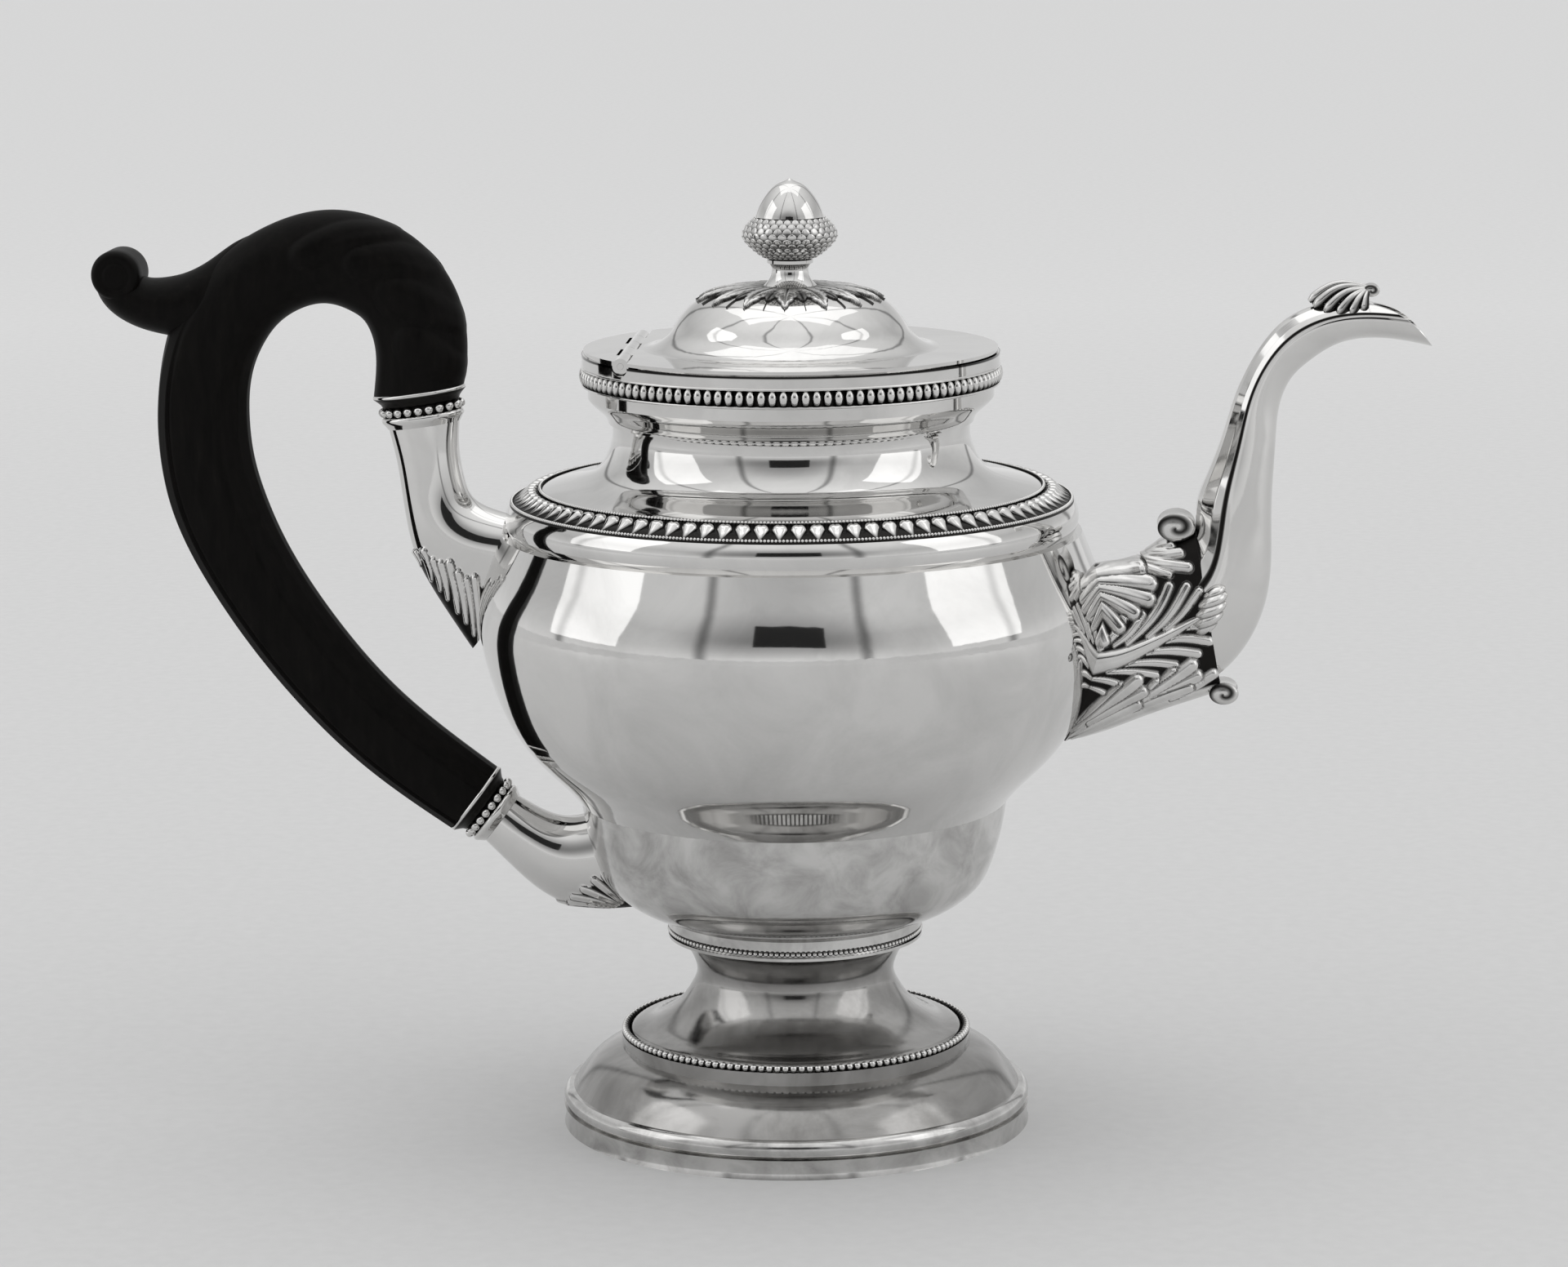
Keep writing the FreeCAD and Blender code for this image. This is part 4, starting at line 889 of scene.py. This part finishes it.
UPPER_LEAF = [((-90.8, 138.8), (-92.2, 142.4), 0.9), ((-88.2, 135.6), (-89.8, 142.8), 1.35),
              ((-86.0, 133.2), (-87.3, 140.8), 1.2), ((-84.2, 131.0), (-85.4, 140.1), 1.25),
              ((-81.8, 127.8), (-83.1, 140.2), 1.5), ((-79.8, 125.2), (-81.0, 137.8), 1.4),
              ((-78.0, 122.0), (-79.0, 136.4), 1.1), ((-76.6, 118.0), (-77.0, 136.8), 1.2)]
LOWER_LEAF = [((-45.5, 53.6), (-58.6, 54.6), 1.0), ((-44.6, 53.8), (-55.2, 55.2), 1.2),
              ((-44.0, 54.2), (-54.4, 56.8), 1.2), ((-43.4, 54.6), (-51.6, 59.0), 1.3),
              ((-42.6, 55.2), (-48.8, 61.4), 1.3), ((-42.0, 56.0), (-46.4, 62.6), 1.1)]


def sockets():
    """The two mounts of the handle."""
    upper = [(handle_at(*high), handle_at(*low), width) for low, high, width in [
        ((5.9, -16.6), (-9.6, -14.0), 6.2), ((4.7, -24.6), (-11.0, -22.6), 6.6),
        ((2.9, -36.0), (-15.0, -28.2), 7.6), ((-0.6, -45.6), (-25.0, -31.4), 8.4),
        ((-12.0, -64.0), (-36.0, -34.0), 7.0)]]
    ground = [(-94.0, 140.4), (-89.8, 140.6), (-83.2, 138.4), (-80.8, 136.0), (-76.0, 134.8)]
    leaf = fan(UPPER_LEAF, 0.9, (0.3, 0.0), 0.45)
    socket("upper_leaf_socket", UPPER, upper, leaf, ground, "upper_socket")
    lower = [((-63.2, 78.2), (-70.6, 64.0), 6.9), ((-55.6, 76.0), (-60.6, 55.8), 7.8),
             ((-45.5, 78.6), (-47.0, 52.7), 8.2), ((-36.0, 80.0), (-35.0, 53.8), 7.2)]
    ground = [(-58.6, 50.0), (-56.0, 55.0), (-52.6, 57.6), (-49.4, 60.2), (-46.0, 61.8)]
    leaf = fan(LOWER_LEAF, 0.7, (0.0, 0.2))
    socket("lower_leaf_socket", LOWER, lower, leaf, ground, "lower_socket")


# Finishes of the nodes that keep their own shape
FINISHES = {"rim_band": seam_shadowed, "lower_bowl": worn, "stem_collar": worn, "pedestal": tarnished_and_shaded,
            "foot_dome": tarnished_and_shaded, "foot_rim": worn}


def dress():
    replaced = set()
    for piece in bpy.data.objects:
        replaced.update(piece.get("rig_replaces", []))
    for node, shape in frame["nodes"].items():
        if node not in replaced:
            shape.data.materials.clear()
            shape.data.materials.append(FINISHES.get(node, polished))


# Studio, in metres: pale floor, soft panels, and a grey tent with seams that is darker in front
def linked(name, data):
    """A new object in the scene."""
    thing = bpy.data.objects.new(name, data)
    bpy.context.scene.collection.objects.link(thing)
    return thing


def floor():
    """Wide disc that is paler away from the part, with painted shade near the part round its foot."""
    radius, sides = 14, 64
    mesh = bpy.data.meshes.new("floor")
    points = [(radius * math.cos(t), radius * math.sin(t), 0) for t in around(sides)]
    mesh.from_pydata(points, [], [list(range(sides))])
    material, graph, shader = new_material("pale_floor")
    place = graph.place()
    tint = graph.ramp(graph.noise(place, 240.0, 4.0), [(0.3, 0.96), (0.7, 1.0)])
    # painted shade: the floor is darker near the part
    pale = graph.ramp(graph.span(graph.length(place), 0.2, 1.8), [(0.0, 0.67), (1.0, 0.86)])
    graph.feed(shader["Base Color"], graph.mix(1.0, pale, tint, "MULTIPLY"))
    shader["Roughness"].default_value = 0.8
    shader["Specular IOR Level"].default_value = 0.1
    mesh.materials.append(material)
    ground = linked("floor", mesh)


def card():
    """Dark card above the lens, seen only in the silver."""
    left, right, y, low, high = -0.24, 0.34, -1.28, 0.38, 0.76
    mesh = bpy.data.meshes.new("dark_card")
    mesh.from_pydata([(left, y, low), (right, y, low), (right, y, high), (left, y, high)], [], [(0, 1, 2, 3)])
    material, _, shader = new_material("dark_card")
    shader["Base Color"].default_value = (0.012, 0.012, 0.012, 1)
    shader["Roughness"].default_value = 0.9
    mesh.materials.append(material)
    flag = linked("dark_card", mesh)
    flag.visible_camera = False
    flag.visible_shadow = False
    flag.visible_diffuse = False


def panel(name, place, aim, size, power):
    """Soft light that the camera doesn't see."""
    lamp = bpy.data.lights.new(name, "AREA")
    lamp.shape = "RECTANGLE"
    lamp.size, lamp.size_y = size
    lamp.energy = power
    light = linked(name, lamp)
    light.location = place
    light.rotation_euler = (Vector(aim) - Vector(place)).to_track_quat("-Z", "Y").to_euler()
    light.visible_camera = False


def surround():
    """Grey tent: paler above and below, darker in front above the lens, with upright seams."""
    world = bpy.data.worlds.new("studio")
    bpy.context.scene.world = world
    world.use_nodes = True
    graph = Graph(world.node_tree)
    parts = graph.parts(graph.place("Generated"))
    grey = graph.ramp(parts["Z"], [(0.0, 0.80), (0.14, 0.66), (0.34, 0.58), (0.9, 1.0)])
    front = graph.span(parts["Y"], -0.68, -0.97, (0.0, 0.6), soft=True)
    above = graph.span(parts["Z"], 0.0, 0.30, soft=True)
    shaded = graph.mix(graph.math("MULTIPLY", front, above), grey, (0.02, 0.02, 0.02, 1))
    turn = graph.math("ARCTAN2", parts["X"], parts["Y"])
    from_seam = graph.math("ABSOLUTE", graph.math("COSINE", graph.math("MULTIPLY", turn, 3.0)))
    seams = graph.span(from_seam, 0.0, 0.2, (0.4, 1.0), soft=True)
    glow = world.node_tree.nodes["Background"].inputs
    graph.feed(glow["Color"], graph.mix(1.0, shaded, seams, "MULTIPLY"))
    glow["Strength"].default_value = 1.02


def camera():
    """The photo's view: a long lens a little to the right, looking down."""
    yaw, aside, pitch, roll = math.radians(3.5), 0.0018, math.radians(-10.15), math.radians(-0.46)
    distance, height = 1.207, 0.338
    lens = bpy.data.cameras.new("camera")
    lens.sensor_width = 36.0
    lens.lens = 115.03
    lens.clip_end = 60.0
    eye = linked("camera", lens)
    eye.location = (distance * math.sin(yaw), -distance * math.cos(yaw), height)
    turn = Matrix.Rotation(yaw + aside, 4, "Z") @ Matrix.Rotation(math.pi / 2 + pitch, 4, "X")
    eye.rotation_euler = (turn @ Matrix.Rotation(roll, 4, "Z")).to_euler()
    bpy.context.scene.camera = eye


shoulder_band()
rim_beads()
beaded_wires()
finial_cup()
calyx()
spout()
spout_socket()
spout_shell()
grip()
ferrule("upper_ferrule_beads", UPPER, "upper_ferrule")
ferrule("lower_ferrule_beads", LOWER, "lower_ferrule")
sockets()
dress()

floor()
card()
panel("left_panel", (-1.12, -0.26, 0.66), (0, 0, 0.12), (0.75, 1.0), 1.6)
panel("right_panel", (1.12, -0.26, 0.66), (0, 0, 0.12), (0.75, 1.0), 1.6)
panel("top_panel", (0.0, 0.25, 1.35), (0, 0, 0.1), (1.3, 1.0), 1.8)
surround()
camera()
bpy.context.scene.view_settings.view_transform = "Standard"
